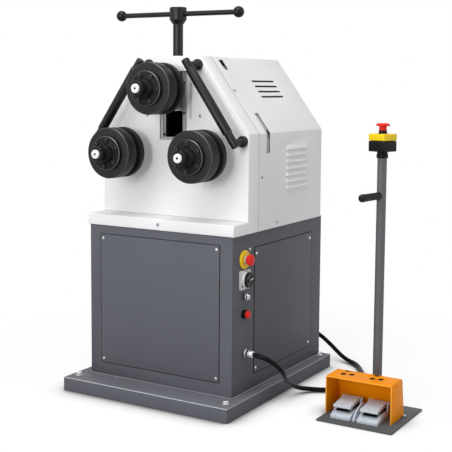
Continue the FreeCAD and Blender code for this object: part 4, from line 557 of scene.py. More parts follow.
# A lighter orange for the guard's front edges, a painted highlight.
ORANGE_EDGE = PowderCoat("guard_edge_coat", (1.0, 0.44, 0.06), 0.4, gloss=0.1)
MOTOR_PAINT = PowderCoat("motor_paint", (0.12, 0.14, 0.17), 0.4)
HANDLE_BLACK = PowderCoat(
    "handle_black_coat", (0.006, 0.006, 0.007), 0.34, peel=0.000006, pebble=1600.0, gloss=0.24
)
BLACK_PLASTIC = Moulded("black_moulding", (0.008, 0.008, 0.009), 0.36, sheen=0.1)
GLOSS_BLACK = Moulded("gloss_black_moulding", (0.005, 0.005, 0.006), 0.24, sheen=0.18)
RED_PLASTIC = Moulded("red_moulding", (0.72, 0.022, 0.018), 0.34, sheen=0.15)
YELLOW_PLASTIC = Moulded("yellow_moulding", (0.83, 0.58, 0.008), 0.36, sheen=0.25)
PALE_PLASTIC = Moulded("pale_moulding", (0.55, 0.56, 0.56), 0.42)
MARKER_WHITE = Moulded("marker_white", (0.82, 0.82, 0.82), 0.4)
SCALE_WHITE = Moulded("scale_face", (0.66, 0.66, 0.66), 0.6)
# Grey for the hood seam's shaded line and for the painted shadow under each louvre.
SEAM_GREY = Moulded("seam_shade", (0.38, 0.38, 0.39), 0.7)
# Black for painted shade in screw sockets, holes, slots, round covers and screw heads, on the strips'
# running sides and under the treadles, and for the dark joint at the panel's foot.
JOINT_AND_SHADE_BLACK = Moulded("slot_black", (0.006, 0.006, 0.006), 0.8, sheen=0.1)
CHROME = BrightMetal("polished_chrome", (0.46, 0.47, 0.49), 0.16)
NICKEL = BrightMetal("nickel_plate", (0.52, 0.53, 0.55), 0.22, scratch=EVEN)
ZINC = BrightMetal("zinc_plate", (0.70, 0.70, 0.71), 0.26, scratch=EVEN, metal=0.8)
DULL_PLATE = BrightMetal("hood_screw_plate", (0.46, 0.46, 0.47), 0.3, scratch=EVEN, metal=0.8)
BLACKED_SCREW = BrightMetal("blacked_screw", (0.022, 0.022, 0.024), 0.32, scratch=EVEN, metal=0.3)
STRIP_STEEL = BrightMetal("guide_strip_steel", (0.30, 0.30, 0.31), 0.42, metal=0.4)
STEP_HIGHLIGHT_STEEL = BrightMetal("worn_steel_edge", (0.12, 0.12, 0.125), 0.36, metal=0.6)
GROUND_STEEL = BrightMetal("ground_steel_face", (0.60, 0.60, 0.61), 0.3)
BEARING_STEEL = BrightMetal("bearing_steel_face", (0.66, 0.67, 0.68), 0.22)
BRONZE = BrightMetal("turned_bronze", (0.55, 0.37, 0.17), 0.34)
CAST_ALLOY = CastMetal("cast_alloy", (0.52, 0.57, 0.63), 0.6, metal=0.1)
HOUSING_CAST = CastMetal("painted_casting", (0.17, 0.18, 0.20), 0.5, metal=0.0)
CABLE_BLACK = Sheath("cable_black", (0.006, 0.006, 0.007), 0.28)


# ---------------------------------------------------------------- modelling


class Axis(Enum):
    """The axis that a turned piece stands on."""

    X = (1.0, 0.0, 0.0)
    Y = (0.0, 1.0, 0.0)
    Z = (0.0, 0.0, 1.0)

    def along(self) -> Vector:
        """The axis as a vector."""
        return Vector(self.value)

    def across(self) -> Vector:
        """A direction square to the axis."""
        return Vector((0.0, 0.0, 1.0)) if self is Axis.X else Vector((1.0, 0.0, 0.0))


class Bench:
    """Modelling steps on one piece at a time, each with only that piece selected."""

    SMOOTH = math.radians(35)
    FLAT = math.radians(0.3)
    ALIGNED = 0.99
    WELD = 0.002 * MM
    SPIN_WELD = 0.004 * MM
    CORNER_STEPS = 5

    @staticmethod
    def take(piece: bpy.types.Object) -> bpy.types.Object:
        """Makes a piece the only one selected, and returns it."""
        bpy.ops.object.select_all(action="DESELECT")
        piece.select_set(True)
        bpy.context.view_layer.objects.active = piece
        return piece

    @staticmethod
    def start(primitive: Callable[..., object], name: str, **sizes: object) -> bpy.types.Object:
        """Adds a primitive at its size and place.

        Args:
            primitive: The operator that adds it.
            name: The piece's name.
            sizes: The operator's settings.

        Returns:
            The new piece, its place moved into its mesh.
        """
        bpy.ops.object.select_all(action="DESELECT")
        primitive(**sizes)
        piece = bpy.context.object
        piece.name = piece.data.name = name
        bpy.ops.object.transform_apply(location=True, rotation=True, scale=True)
        return piece

    @classmethod
    def edit(cls, piece: bpy.types.Object, *steps: Callable[[], object]) -> bpy.types.Object:
        """Runs steps in edit mode with all of the piece selected.

        Args:
            piece: The piece.
            steps: Calls made in order.

        Returns:
            The piece.
        """
        cls.take(piece)
        bpy.ops.object.mode_set(mode="EDIT")
        bpy.ops.mesh.select_all(action="SELECT")
        for step in steps:
            step()
        bpy.ops.object.mode_set(mode="OBJECT")
        return piece

    @classmethod
    def turn(
        cls, name: str, axis: Axis, centre: Place, profile: Profile, steps: int = 64
    ) -> bpy.types.Object:
        """A piece turned about an axis, from a chain of points that is spun once round.

        Args:
            name: The piece's name.
            axis: The axis it stands on.
            centre: A point on the axis, in millimetres.
            profile: Pairs of a radius and a distance along the axis, in millimetres.
            steps: Faces in one turn.

        Returns:
            The piece.
        """
        middle = Vector(centre) * MM
        points = [
            middle + axis.across() * radius * MM + axis.along() * along * MM
            for radius, along in profile
        ]
        piece = cls.start(bpy.ops.mesh.primitive_plane_add, name, size=MM, location=points[0])

        def spin() -> None:
            """Draws the outline and spins it once round."""
            cls.chain(points)
            bpy.ops.mesh.spin(steps=steps, angle=math.tau, center=middle, axis=axis.along())
            bpy.ops.mesh.select_all(action="SELECT")
            bpy.ops.mesh.remove_doubles(threshold=cls.SPIN_WELD)
            bpy.ops.mesh.normals_make_consistent(inside=False)

        return cls.edit(piece, spin)

    @staticmethod
    def chain(points: Sequence[Vector]) -> None:
        """In edit mode, draws a new plane out into a chain of points, and selects it.

        Args:
            points: The points, in metres; the plane stands at the first.
        """
        bpy.ops.mesh.merge(type="CENTER")
        for here, there in zip(points, points[1:]):
            bpy.ops.mesh.extrude_region_move(TRANSFORM_OT_translate={"value": there - here})
        bpy.ops.mesh.select_all(action="SELECT")

    @classmethod
    def prism(
        cls, name: str, sides: int, radius: float, low: float, high: float, across: Place = ORIGIN
    ) -> bpy.types.Object:
        """A cylinder or an even prism that stands on +Z.

        Args:
            name: The piece's name.
            sides: How many sides it has.
            radius: The radius to its corners, in millimetres.
            low: The height of its foot, in millimetres.
            high: The height of its top, in millimetres.
            across: Where its axis stands, in millimetres.

        Returns:
            The piece.
        """
        middle = Vector((across[0], across[1], (low + high) / 2)) * MM
        return cls.start(
            bpy.ops.mesh.primitive_cylinder_add, name, vertices=sides, radius=radius * MM,
            depth=(high - low) * MM, location=middle,
        )

    @classmethod
    def block(cls, name: str, low: Place, high: Place, corner: float, axis: Axis) -> bpy.types.Object:
        """A box with the corners that stand along one axis rounded.

        Args:
            name: The piece's name.
            low: Its lowest corner, in millimetres.
            high: Its highest corner, in millimetres.
            corner: The corners' radius, in millimetres.
            axis: The axis that the rounded corners stand along.

        Returns:
            The piece.
        """
        lowest, highest = Vector(low) * MM, Vector(high) * MM
        piece = cls.start(
            bpy.ops.mesh.primitive_cube_add, name, size=1.0,
            location=(lowest + highest) / 2, scale=highest - lowest,
        )
        upright = axis.along()

        def along_axis(edge: bpy.types.MeshEdge) -> bool:
            """Whether an edge stands along the axis."""
            first, second = cls.ends(piece, edge)
            return abs((second - first).normalized().dot(upright)) > cls.ALIGNED

        return cls.bevel(piece, along_axis, corner, cls.CORNER_STEPS)

    @staticmethod
    def ends(piece: bpy.types.Object, edge: bpy.types.MeshEdge) -> tuple[Vector, ...]:
        """The places of an edge's two ends, in metres."""
        return tuple(piece.data.vertices[i].co for i in edge.vertices)

    @classmethod
    def choose_edges(cls, piece: bpy.types.Object, wanted: Callable[[bpy.types.MeshEdge], bool]) -> None:
        """Selects a piece's edges by a test, and nothing else of it.

        Args:
            piece: The piece.
            wanted: Tells whether an edge is taken.
        """
        for face in piece.data.polygons:
            face.select = False
        for vertex in piece.data.vertices:
            vertex.select = False
        for edge in piece.data.edges:
            edge.select = wanted(edge)

    @classmethod
    def edit_chosen(cls, piece: bpy.types.Object, *steps: Callable[[], object]) -> bpy.types.Object:
        """Runs steps in edit mode on the edges that choose_edges took.

        Args:
            piece: The piece.
            steps: Calls made in order.

        Returns:
            The piece.
        """
        cls.take(piece)
        bpy.ops.object.mode_set(mode="EDIT")
        bpy.context.tool_settings.mesh_select_mode = (False, True, False)
        for step in steps:
            step()
        bpy.context.tool_settings.mesh_select_mode = (True, False, False)
        bpy.ops.object.mode_set(mode="OBJECT")
        return piece

    @classmethod
    def bevel(
        cls, piece: bpy.types.Object, wanted: Callable[[bpy.types.MeshEdge], bool], width: float,
        segments: int, clamp: bool = False,
    ) -> bpy.types.Object:
        """Rounds the edges that pass a test.

        Args:
            piece: The piece.
            wanted: Tells whether an edge is rounded.
            width: The bevel's width, in millimetres.
            segments: Faces across the bevel.
            clamp: Whether the bevel stops where it meets another.

        Returns:
            The piece.
        """
        cls.choose_edges(piece, wanted)
        return cls.edit_chosen(
            piece,
            lambda: bpy.ops.mesh.bevel(
                offset=width * MM, segments=segments, affect="EDGES", clamp_overlap=clamp
            ),
        )

    @classmethod
    def soften(
        cls, piece: bpy.types.Object, width: float, segments: int = 2, angle: float = 30.0
    ) -> bpy.types.Object:
        """Rounds a piece's sharp edges and smooths its curved faces.

        Args:
            piece: The piece.
            width: The bevel's width, in millimetres.
            segments: Faces across a bevel.
            angle: The least angle of an edge that is rounded, in degrees.

        Returns:
            The piece.
        """
        cls.take(piece)
        bevel = piece.modifiers.new("edges", "BEVEL")
        bevel.width = width * MM
        bevel.segments = segments
        bevel.limit_method = "ANGLE"
        bevel.angle_limit = math.radians(angle)
        bpy.ops.object.modifier_apply(modifier=bevel.name)
        bpy.ops.object.shade_smooth_by_angle(angle=cls.SMOOTH)
        return piece

    @classmethod
    def traced(cls, node: str, name: str) -> bpy.types.Object:
        """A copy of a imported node, its loose triangles joined and its flat faces made whole.

        Args:
            node: The node's name.
            name: The piece's name.

        Returns:
            The copy.
        """
        source = bpy.data.objects[node]
        piece = bpy.data.objects.new(name, source.data.copy())
        piece.data.name = name
        piece.data.materials.clear()
        bpy.context.scene.collection.objects.link(piece)
        cls.take(piece)
        bpy.ops.mesh.customdata_custom_splitnormals_clear()

        def whole() -> None:
            """Joins the loose triangles and makes flat faces whole."""
            bpy.ops.mesh.remove_doubles(threshold=cls.WELD)
            bpy.ops.mesh.dissolve_limited(angle_limit=cls.FLAT)

        return cls.edit(piece, whole)

    @classmethod
    def joined(cls, name: str, pieces: Sequence[bpy.types.Object]) -> bpy.types.Object:
        """Several pieces made one.

        Args:
            name: The whole's name.
            pieces: The pieces; the first takes in the others.

        Returns:
            The whole.
        """
        cls.take(pieces[0])
        for piece in pieces[1:]:
            piece.select_set(True)
        if len(pieces) > 1:
            bpy.ops.object.join()
        pieces[0].name = pieces[0].data.name = name
        return pieces[0]

    @staticmethod
    def copies(pattern: bpy.types.Object, moves: Iterable[Matrix]) -> list[bpy.types.Object]:
        """Copies of a pattern, each with its own mesh, after which the pattern goes.

        Args:
            pattern: The piece that is repeated, modelled about the origin.
            moves: Where each copy goes.

        Returns:
            The copies.
        """
        made = []
        for move in moves:
            copy = bpy.data.objects.new(pattern.name, pattern.data.copy())
            copy.data.transform(move)
            bpy.context.scene.collection.objects.link(copy)
            made.append(copy)
        bpy.data.objects.remove(pattern)
        return made


def finish_piece(
    piece: bpy.types.Object, finish: Finish, body: str, slot: str, *nodes: str
) -> bpy.types.Object:
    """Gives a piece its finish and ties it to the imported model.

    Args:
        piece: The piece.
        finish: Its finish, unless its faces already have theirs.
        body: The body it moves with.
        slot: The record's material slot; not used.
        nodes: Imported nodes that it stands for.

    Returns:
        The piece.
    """
    if not piece.data.materials:
        piece.data.materials.append(finish.material())
    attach(piece, body)
    if nodes:
        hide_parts(*nodes)
    LOG.info("%s: %d faces on %s", piece.name, len(piece.data.polygons), body)
    return piece


def rub(
    piece: bpy.types.Object, finish: Finish, wanted: Callable[[bpy.types.MeshPolygon], bool]
) -> None:
    """Gives some of a finished piece's faces a worn finish.

    Args:
        piece: The piece, which has its own finish.
        finish: The worn finish.
        wanted: Tells whether a face is worn.
    """
    piece.data.materials.append(finish.material())
    worn = len(piece.data.materials) - 1
    for face in piece.data.polygons:
        if wanted(face):
            face.material_index = worn


def slanted(lean: float, least: float = SLANT_LEAST) -> bool:
    """Whether a face with this share of its normal along an axis is on a bevel."""
    return least < lean < SLANT_MOST


def coat_nodes(finish: Finish, *nodes: str) -> None:
    """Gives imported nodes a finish.

    Args:
        finish: The finish.
        nodes: Their names.
    """
    for name in nodes:
        for place in bpy.data.objects[name].material_slots:
            place.material = finish.material()


def stood(place: Place, degrees: float = 0.0, axis: Axis = Axis.Z) -> Matrix:
    """The move that turns a pattern about the origin and takes it to a place.

    Args:
        place: Where it goes, in millimetres.
        degrees: The turn.
        axis: The axis of the turn.

    Returns:
        The move.
    """
    turn = Matrix.Rotation(math.radians(degrees), 4, axis.name)
    return Matrix.Translation(Vector(place) * MM) @ turn


def facing(place: Place, outward: Place, spin: float = 0.0) -> Matrix:
    """The move that stands a pattern modelled along +Z on a surface.

    Args:
        place: The point on the surface, in millimetres.
        outward: The surface's direction there.
        spin: A turn about that direction, in degrees.

    Returns:
        The move.
    """
    aim = Vector(outward).to_track_quat("Z", "Y").to_matrix().to_4x4()
    return stood(place) @ aim @ stood(ORIGIN, spin)


# ---------------------------------------------------------------- cables


@dataclass
class Cable:
    """A free cable that lies on the floor between two glands; sizes in metres."""

    name: str
    node: str
    route: tuple[Place, ...]
    length: float
    exit: Place
    diameter: float = 0.015
    rings: int = 5
    steps: int = 12

    def build(self) -> bpy.types.Object:
        """Returns:
            The cable.
        """
        curve = bpy.data.curves.new(self.name, "CURVE")
        curve.dimensions = "3D"
        curve.bevel_depth = self.diameter / 2
        curve.bevel_resolution = self.rings
        curve.resolution_u = self.steps
        curve.use_fill_caps = True
        line = curve.splines.new("NURBS")
        line.points.add(len(self.route) - 1)
        for point, place in zip(line.points, self.route):
            point.co = (*place, 1.0)
        line.order_u = 3
        line.use_endpoint_u = True
        piece = bpy.data.objects.new(self.name, curve)
        bpy.context.scene.collection.objects.link(piece)
        curve.materials.append(CABLE_BLACK.material())
        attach(piece, "machine")
        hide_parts(self.node)
        LOG.info("%s: %.3f m", self.name, self.length)
        return piece


SIDE_CABLE = Cable(
    "pedal_cable", "side_cable",
    (
        (0.280, -0.190, 0.168), (0.328, -0.190, 0.168), (0.368, -0.172, 0.146), (0.383, -0.141, 0.111),
        (0.360, -0.073, 0.061), (0.356, 0.010, 0.020), (0.383, 0.052, 0.009), (0.424, 0.071, 0.008),
        (0.468, 0.107, 0.008), (0.530, 0.106, 0.015), (0.572, 0.062, 0.030), (0.572, -0.010, 0.030),
    ),
    0.661, (0.280, -0.190, 0.168),
)
REAR_CABLE = Cable(
    "stop_cable", "rear_cable",
    (
        (0.170, 0.368, 0.110), (0.170, 0.425, 0.110), (0.201, 0.468, 0.087), (0.248, 0.475, 0.054),
        (0.333, 0.431, 0.012), (0.398, 0.403, 0.008), (0.458, 0.303, 0.008), (0.528, 0.199, 0.008),
        (0.590, 0.146, 0.008), (0.626, 0.096, 0.028), (0.626, 0.044, 0.028),
    ),
    0.776, (0.170, 0.368, 0.110),
)


# ---------------------------------------------------------------- fasteners


@dataclass(frozen=True)
class SocketScrew:
    """A cap screw with a hexagon socket, modelled standing on +Z; sizes in millimetres."""

    head: float
    height: float
    socket: float
    depth: float
    dome: float = 0.7
    sunk: float = 0.4
    sides: int = 24
    shade_gap: float = 0.0
    shade_lap: float = 0.4
    shade_low: float = -0.3
    shade_high: float = 0.12

    def pattern(self) -> bpy.types.Object:
        """One screw about the origin, sunk a little so that it stays seated.

        Returns:
            The screw.
        """
        piece = Bench.prism("screw_pattern", self.sides, self.head, -self.sunk, self.height)
        crown = (self.height - TOUCH) * MM
        Bench.bevel(
            piece, lambda edge: all(end.z > crown for end in Bench.ends(piece, edge)), self.dome, 3
        )
        low, high = self.height - self.depth, self.height + self.depth
        key = Bench.prism("socket_key", 6, self.socket, low, high)
        Bench.take(piece)
        hollow = piece.modifiers.new("socket", "BOOLEAN")
        hollow.operation = "DIFFERENCE"
        hollow.object = key
        bpy.ops.object.modifier_apply(modifier=hollow.name)
        bpy.data.objects.remove(key)
        bpy.ops.object.shade_smooth_by_angle(angle=Bench.SMOOTH)
        return piece

    def in_socket(self, face: bpy.types.MeshPolygon) -> bool:
        """Whether a face of the pattern is inside the socket."""
        inside = math.hypot(face.center.x, face.center.y) < self.socket * MM
        return inside and face.center.z < (self.height - 0.05) * MM

    def gap_ring(self) -> bpy.types.Object:
        """Painted shade round the head, as a thin dark ring.

        Returns:
            The ring.
        """
        near, far = self.head - self.shade_lap, self.head + self.shade_gap
        low, high = self.shade_low, self.shade_high
        profile = [(near, low), (far, low), (far, high), (near, high), (near, low)]
        ring = Bench.turn("gap_ring", Axis.Z, ORIGIN, profile, self.sides)
        ring.data.materials.append(JOINT_AND_SHADE_BLACK.material())
        return ring

    def row(
        self, name: str, places: Iterable[Matrix], finish: Finish, body: str, slot: str
    ) -> bpy.types.Object:
        """Copies of the screw as one piece.

        Args:
            name: The piece's name.
            places: Where the screws stand.
            finish: Their finish.
            body: The body they move with.
            slot: The record's material slot.

        Returns:
            The piece.
        """
        pattern = self.pattern()
        pattern.data.materials.append(finish.material())
        # Painted shade: the socket's inside is black, and so is the thin ring round the head, if the screw
        # has one.
        rub(pattern, JOINT_AND_SHADE_BLACK, self.in_socket)
        if self.shade_gap:
            pattern = Bench.joined("screw_pattern", [pattern, self.gap_ring()])
        screws = Bench.joined(name, Bench.copies(pattern, places))
        return finish_piece(screws, finish, body, slot)


FLANGE_SCREW = SocketScrew(head=6.0, height=5.6, socket=3.0, depth=3.0, shade_gap=0.9)
HOOD_SCREW = SocketScrew(head=4.4, height=2.6, socket=2.5, depth=2.0, dome=1.2, shade_gap=0.9)
COVER_SCREW = SocketScrew(head=4.6, height=2.4, socket=2.0, depth=1.6, dome=1.5)
STRIP_SCREW = SocketScrew(head=4.4, height=1.6, socket=2.1, depth=1.4)


# ---------------------------------------------------------------- rolls


class RollSteel(Enum):
    """A roll's turned finishes: name, colour, roughness and how metallic each is."""

    DISC = ("blacked_steel", (0.021, 0.021, 0.022), 0.4, 0.15)
    # The two edge finishes are brighter metal for painted highlights along the rims.
    DISC_EDGE = ("rubbed_edge", (0.085, 0.085, 0.09), 0.4, 0.85)
    FLANGE = ("blacked_flange", (0.009, 0.009, 0.010), 0.36, 0.1)
    FLANGE_EDGE = ("rubbed_flange_edge", (0.11, 0.11, 0.115), 0.36, 0.85)
    SHAFT_END = ("ground_end", (0.74, 0.74, 0.75), 0.4, 0.2)


@dataclass
class Roll:
    """One roll: bevelled discs and their spacer, a clamp flange with screws, a nut and a shaft."""

    side: str
    x: float
    z: float
    screw_turn: float
    back: float = -237.0
    rear_width: float = 17.5
    groove_width: float = 25.5
    front_width: float = 44.5
    radius: float = 80.0
    groove_radius: float = 58.0
    bevel: float = 2.0
    spacer_bevel: float = 0.4
    seat: float = 20.0
    flange_radius: float = 54.0
    flange: float = 12.0
    hub: tuple[float, float] = (31.0, 27.0)
    hub_length: float = 20.0
    hub_bevel: float = 1.5
    hub_fillet: float = 2.0
    nut_radius: float = 24.0
    nut_length: float = 28.0
    nut_bevel: float = 3.0
    nut_groove: float = 1.0
    thread: float = 14.1
    thread_bevel: float = 1.0
    tip: float = 5.5
    centre_hole: float = 3.0
    centre_depth: float = 8.0
    screws: int = 6
    screw_circle: float = 43.0
    socket_turn: float = 17.0

    @property
    def body(self) -> str:
        """The body that the roll turns with."""
        return f"{self.side}_roll"

    @property
    def face(self) -> float:
        """Y of the front disc's face."""
        return self.back - self.rear_width - self.groove_width - self.front_width

    @property
    def flange_face(self) -> float:
        """Y of the clamp flange's face."""
        return self.face - self.flange

    @property
    def hub_tip(self) -> float:
        """Y of the end of the flange's hub, where the nut begins."""
        return self.face - self.flange - self.hub_length

    @property
    def nut_tip(self) -> float:
        """Y of the nut's front end."""
        return self.hub_tip - self.nut_length

    def steel(self, kind: RollSteel) -> TurnedSteel:
        """A turned finish about this roll's axis.

        Args:
            kind: Which of the roll's finishes.

        Returns:
            The finish.
        """
        name, colour, roughness, metal = kind.value
        centre = (self.x * MM, self.z * MM)
        return TurnedSteel(f"{name}_{self.side}", colour, roughness, centre, metal=metal)

    def off_axis(self, face: bpy.types.MeshPolygon) -> float:
        """How far a face's middle is from the roll's axis, in millimetres."""
        return math.hypot(face.center.x / MM - self.x, face.center.z / MM - self.z)

    def turned(self, name: str, profile: Profile, edge: float) -> bpy.types.Object:
        """A piece turned about the roll's axis, with its edges softened."""
        piece = Bench.turn(f"{self.side}_{name}", Axis.Y, (self.x, 0.0, self.z), profile, 96)
        return Bench.soften(piece, edge)

    def ring(self, name: str, radius: float, front: float, back: float, bevel: float) -> bpy.types.Object:
        """One disc or spacer between two faces.

        Args:
            name: The piece's name.
            radius: Its outer radius.
            front: Y of its front face.
            back: Y of its back face.
            bevel: The width of its edge bevels.

        Returns:
            The piece.
        """
        profile = [
            (self.seat, front), (radius - bevel, front), (radius, front + bevel),
            (radius, back - bevel), (radius - bevel, back), (self.seat, back), (self.seat, front),
        ]
        return self.turned(name, profile, 0.35)

    def highlight_rim(self, piece: bpy.types.Object, finish: Finish, radius: float, front: float) -> None:
        """Gives the narrow bevel round a rim a brighter finish, a painted highlight.

        Args:
            piece: The piece.
            finish: The rubbed finish.
            radius: The rim's radius.
            front: Y at which the bevel begins, towards the front.
        """

        def on_bevel(face: bpy.types.MeshPolygon) -> bool:
            """Whether a face is on the rim's bevel."""
            along = face.center.y / MM - front
            at_rim = self.off_axis(face) > radius - self.bevel - 0.6
            return slanted(abs(face.normal.y)) and at_rim and -0.5 < along < self.bevel + 0.5

        rub(piece, finish, on_bevel)

    def build(self) -> None:
        """Builds and dresses every piece of the roll."""
        self.discs()
        self.clamp_flange()
        self.flange_screws()
        self.nut()
        self.shaft()

    def discs(self) -> None:
        """The front disc, the spacer and the rear disc."""
        first = self.face + self.front_width
        second = first + self.groove_width
        discs = Bench.joined(
            f"{self.side}_forming_discs",
            [
                self.ring("front_ring", self.radius, self.face, first, self.bevel),
                self.ring("spacer_ring", self.groove_radius, first, second, self.spacer_bevel),
                self.ring("rear_ring", self.radius, second, self.back, self.bevel),
            ],
        )
        steel, node = self.steel(RollSteel.DISC), f"{self.side}_roll_discs"
        finish_piece(discs, steel, self.body, "black_steel", node)
        for front in (self.face, first - self.bevel):
            self.highlight_rim(discs, self.steel(RollSteel.DISC_EDGE), self.radius, front)

    def clamp_flange(self) -> None:
        """The flange with its tapered hub."""
        face, tip = self.flange_face, self.hub_tip
        root, end = self.hub
        flange = self.turned(
            "clamp_flange",
            [
                (self.seat, tip), (end - self.hub_bevel, tip), (end, tip + self.hub_bevel),
                (root, face - self.hub_fillet), (root + self.hub_fillet, face),
                (self.flange_radius - self.bevel, face), (self.flange_radius, face + self.bevel),
                (self.flange_radius, self.face), (self.seat, self.face), (self.seat, tip),
            ],
            0.4,
        )
        steel, node = self.steel(RollSteel.FLANGE), f"{self.side}_flange"
        finish_piece(flange, steel, self.body, "black_steel", node)
        self.highlight_rim(flange, self.steel(RollSteel.FLANGE_EDGE), self.flange_radius, face)

    def flange_screws(self) -> None:
        """The ring of screws that clamps the discs."""
        places = []
        for number in range(self.screws):
            turn = math.radians(360.0 / self.screws * number + self.screw_turn)
            x = self.x + self.screw_circle * math.cos(turn)
            z = self.z + self.screw_circle * math.sin(turn)
            places.append(facing((x, self.flange_face, z), FORWARD, self.socket_turn * number))
        FLANGE_SCREW.row(
            f"{self.side}_flange_screws", places, BLACKED_SCREW, self.body, "black_steel"
        )

    def nut(self) -> None:
        """The round lock nut, with a groove near the hub."""
        tip, end, radius, neck = self.hub_tip, self.nut_tip, self.nut_radius, self.thread_bevel
        groove = radius - self.nut_groove
        nut = self.turned(
            "shaft_nut",
            [
                (self.thread + neck, end), (radius - self.nut_bevel, end), (radius, end + self.nut_bevel),
                (radius, tip - 5.0), (groove, tip - 4.4), (groove, tip - 3.0), (radius, tip - 2.4),
                (radius, tip), (self.thread, tip), (self.thread, end + neck), (self.thread + neck, end),
            ],
            0.3,
        )
        steel, node = self.steel(RollSteel.FLANGE), f"{self.side}_lock_nut"
        finish_piece(nut, steel, self.body, "black_steel", node)

    def shaft(self) -> None:
        """The shaft, with its bright end and its centre hole painted black as shade."""
        node, name = f"{self.side}_shaft", f"{self.side}_shaft_end"
        shaft = eased(node, name, 0.8, self.steel(RollSteel.SHAFT_END), "ground_steel", self.body)
        end = self.nut_tip - self.tip

        def in_centre(face: bpy.types.MeshPolygon) -> bool:
            """Whether a face is in the centre hole."""
            along = face.center.y / MM - end
            on_tip = face.normal.y < -0.95 and along < 0.5
            return (
                self.off_axis(face) < self.centre_hole + 1.2
                and not on_tip
                and along <= self.centre_depth + 0.5
            )

        # The centre hole's inside is painted shade.
        rub(shaft, JOINT_AND_SHADE_BLACK, in_centre)


# ---------------------------------------------------------------- studio


@dataclass(frozen=True)
class Softbox:
    """A rectangular area light that is aimed at the machine, in metres and watts."""

    name: str
    place: Place
    sides: tuple[float, float]
    power: float
    aim: Place = (0.1, 0.0, 0.6)

    def build(self) -> None:
        """Hangs the light."""
        data = bpy.data.lights.new(self.name, "AREA")
        data.shape = "RECTANGLE"
        data.size, data.size_y = self.sides
        data.energy = self.power
        light = bpy.data.objects.new(self.name, data)
        way = Vector(self.aim) - Vector(self.place)
        turn = way.to_track_quat("-Z", "Y").to_matrix().to_4x4()
        light.matrix_world = Matrix.Translation(self.place) @ turn
        bpy.context.scene.collection.objects.link(light)


@dataclass
class Studio:
    """The camera, the lights and the floor; sizes in metres and degrees."""

    camera_place: Place = (1.7483, -2.7803, 0.9896)
    yaw: float = 30.864
    pitch: float = 5.771
    roll: float = 0.4006
    lens: float = 78.44
    drop: float = -0.0885
    reach: float = 60.0
    sky: float = 0.28
    floor_drop: float = 0.0005
    floor_lit: Colour = (0.62, 0.62, 0.625)
    floor_bare: Colour = (0.93, 0.93, 0.935)
    floor_roughness: float = 0.4
    contact: float = 0.085
    contact_rays: int = 24
    contact_stops: Stops = ((0.45, 0.03), (0.6, 0.3), (0.82, 0.78), (0.98, 1.0))
    fade_middle: float = 0.2
    fade_reach: float = 2.0
    fade_stops: Stops = ((0.0, 0.86), (0.4, 0.9), (0.7, 1.0))
    lights: tuple[Softbox, ...] = (
        Softbox("key_light", (-1.5, -4.6, 2.2), (3.6, 3.6), 72.0),
        Softbox("fill_light", (0.5, -4.8, 1.5), (0.7, 1.3), 60.0),
        Softbox("side_light", (4.0, 0.4, 1.8), (3.0, 3.0), 33.0),
        Softbox("top_light", (0.3, -1.3, 3.7), (2.4, 2.4), 86.0),
    )

    def build(self) -> None:
        """Sets up the camera, world, floor and lights."""
        self.camera()
        self.world()
        self.floor()
        for light in self.lights:
            light.build()
        bpy.context.scene.view_settings.view_transform = "Standard"

    def camera(self) -> None:
        """Places the camera, level apart from a slight roll."""
        yaw, pitch, roll = (math.radians(turn) for turn in (self.yaw, self.pitch, self.roll))
        forward = Vector(
            (-math.sin(yaw) * math.cos(pitch), math.cos(yaw) * math.cos(pitch), -math.sin(pitch))
        )
        level = Vector((math.cos(yaw), math.sin(yaw), 0.0))
        upright = level.cross(forward)
        right = level * math.cos(roll) + upright * math.sin(roll)
        up = upright * math.cos(roll) - level * math.sin(roll)
        data = bpy.data.cameras.new("camera")
        data.lens = self.lens
        data.shift_y = self.drop
        data.clip_end = self.reach
        camera = bpy.data.objects.new("camera", data)
        axes = Matrix((right, up, -forward)).transposed().to_4x4()
        camera.matrix_world = Matrix.Translation(self.camera_place) @ axes
        bpy.context.scene.collection.objects.link(camera)
        bpy.context.scene.camera = camera

    def world(self) -> None:
        """A white backdrop for what the camera and gloss see, and a softer one for light."""
        world = bpy.data.worlds.new("studio")
        bpy.context.scene.world = world
        book = NodeBook(world)
        sky, backdrop = (
            book.node("ShaderNodeBackground", inputs={"Color": (*EVEN, 1.0), "Strength": strength})
            for strength in (self.sky, 1.0)
        )
        book.ends(book.mixed(book.seen_rays(), sky, backdrop), "ShaderNodeOutputWorld")

    def floor(self) -> None:
        """A pale floor that is shown white but for the soft shadow where the object stands on it."""
        floor = Bench.start(
            bpy.ops.mesh.primitive_plane_add, "floor", size=self.reach,
            location=(0.0, 0.0, -self.floor_drop),
        )
        book = NodeBook(bpy.data.materials.new("studio_floor"))
        lit, bare = (
            book.node(
                "ShaderNodeBsdfDiffuse", inputs={"Color": (*tone, 1.0), "Roughness": self.floor_roughness}
            )
            for tone in (self.floor_lit, self.floor_bare)
        )
        closeness = book.node(
            "ShaderNodeAmbientOcclusion", {"samples": self.contact_rays}, {"Distance": self.contact},
            output="AO",
        )
        shadow = book.ramp(closeness, *self.contact_stops)
        white = book.node("ShaderNodeEmission", inputs={"Color": shadow, "Strength": 1.0})
        far = distance(book.split("X") - self.fade_middle, book.split("Y"))
        share = book.ramp(far / self.fade_reach, *self.fade_stops)
        near = book.mixed(share, bare, white)
        floor.data.materials.append(book.ends(book.mixed(book.seen_rays(), lit, near)))


# ---------------------------------------------------------------- sheet metal


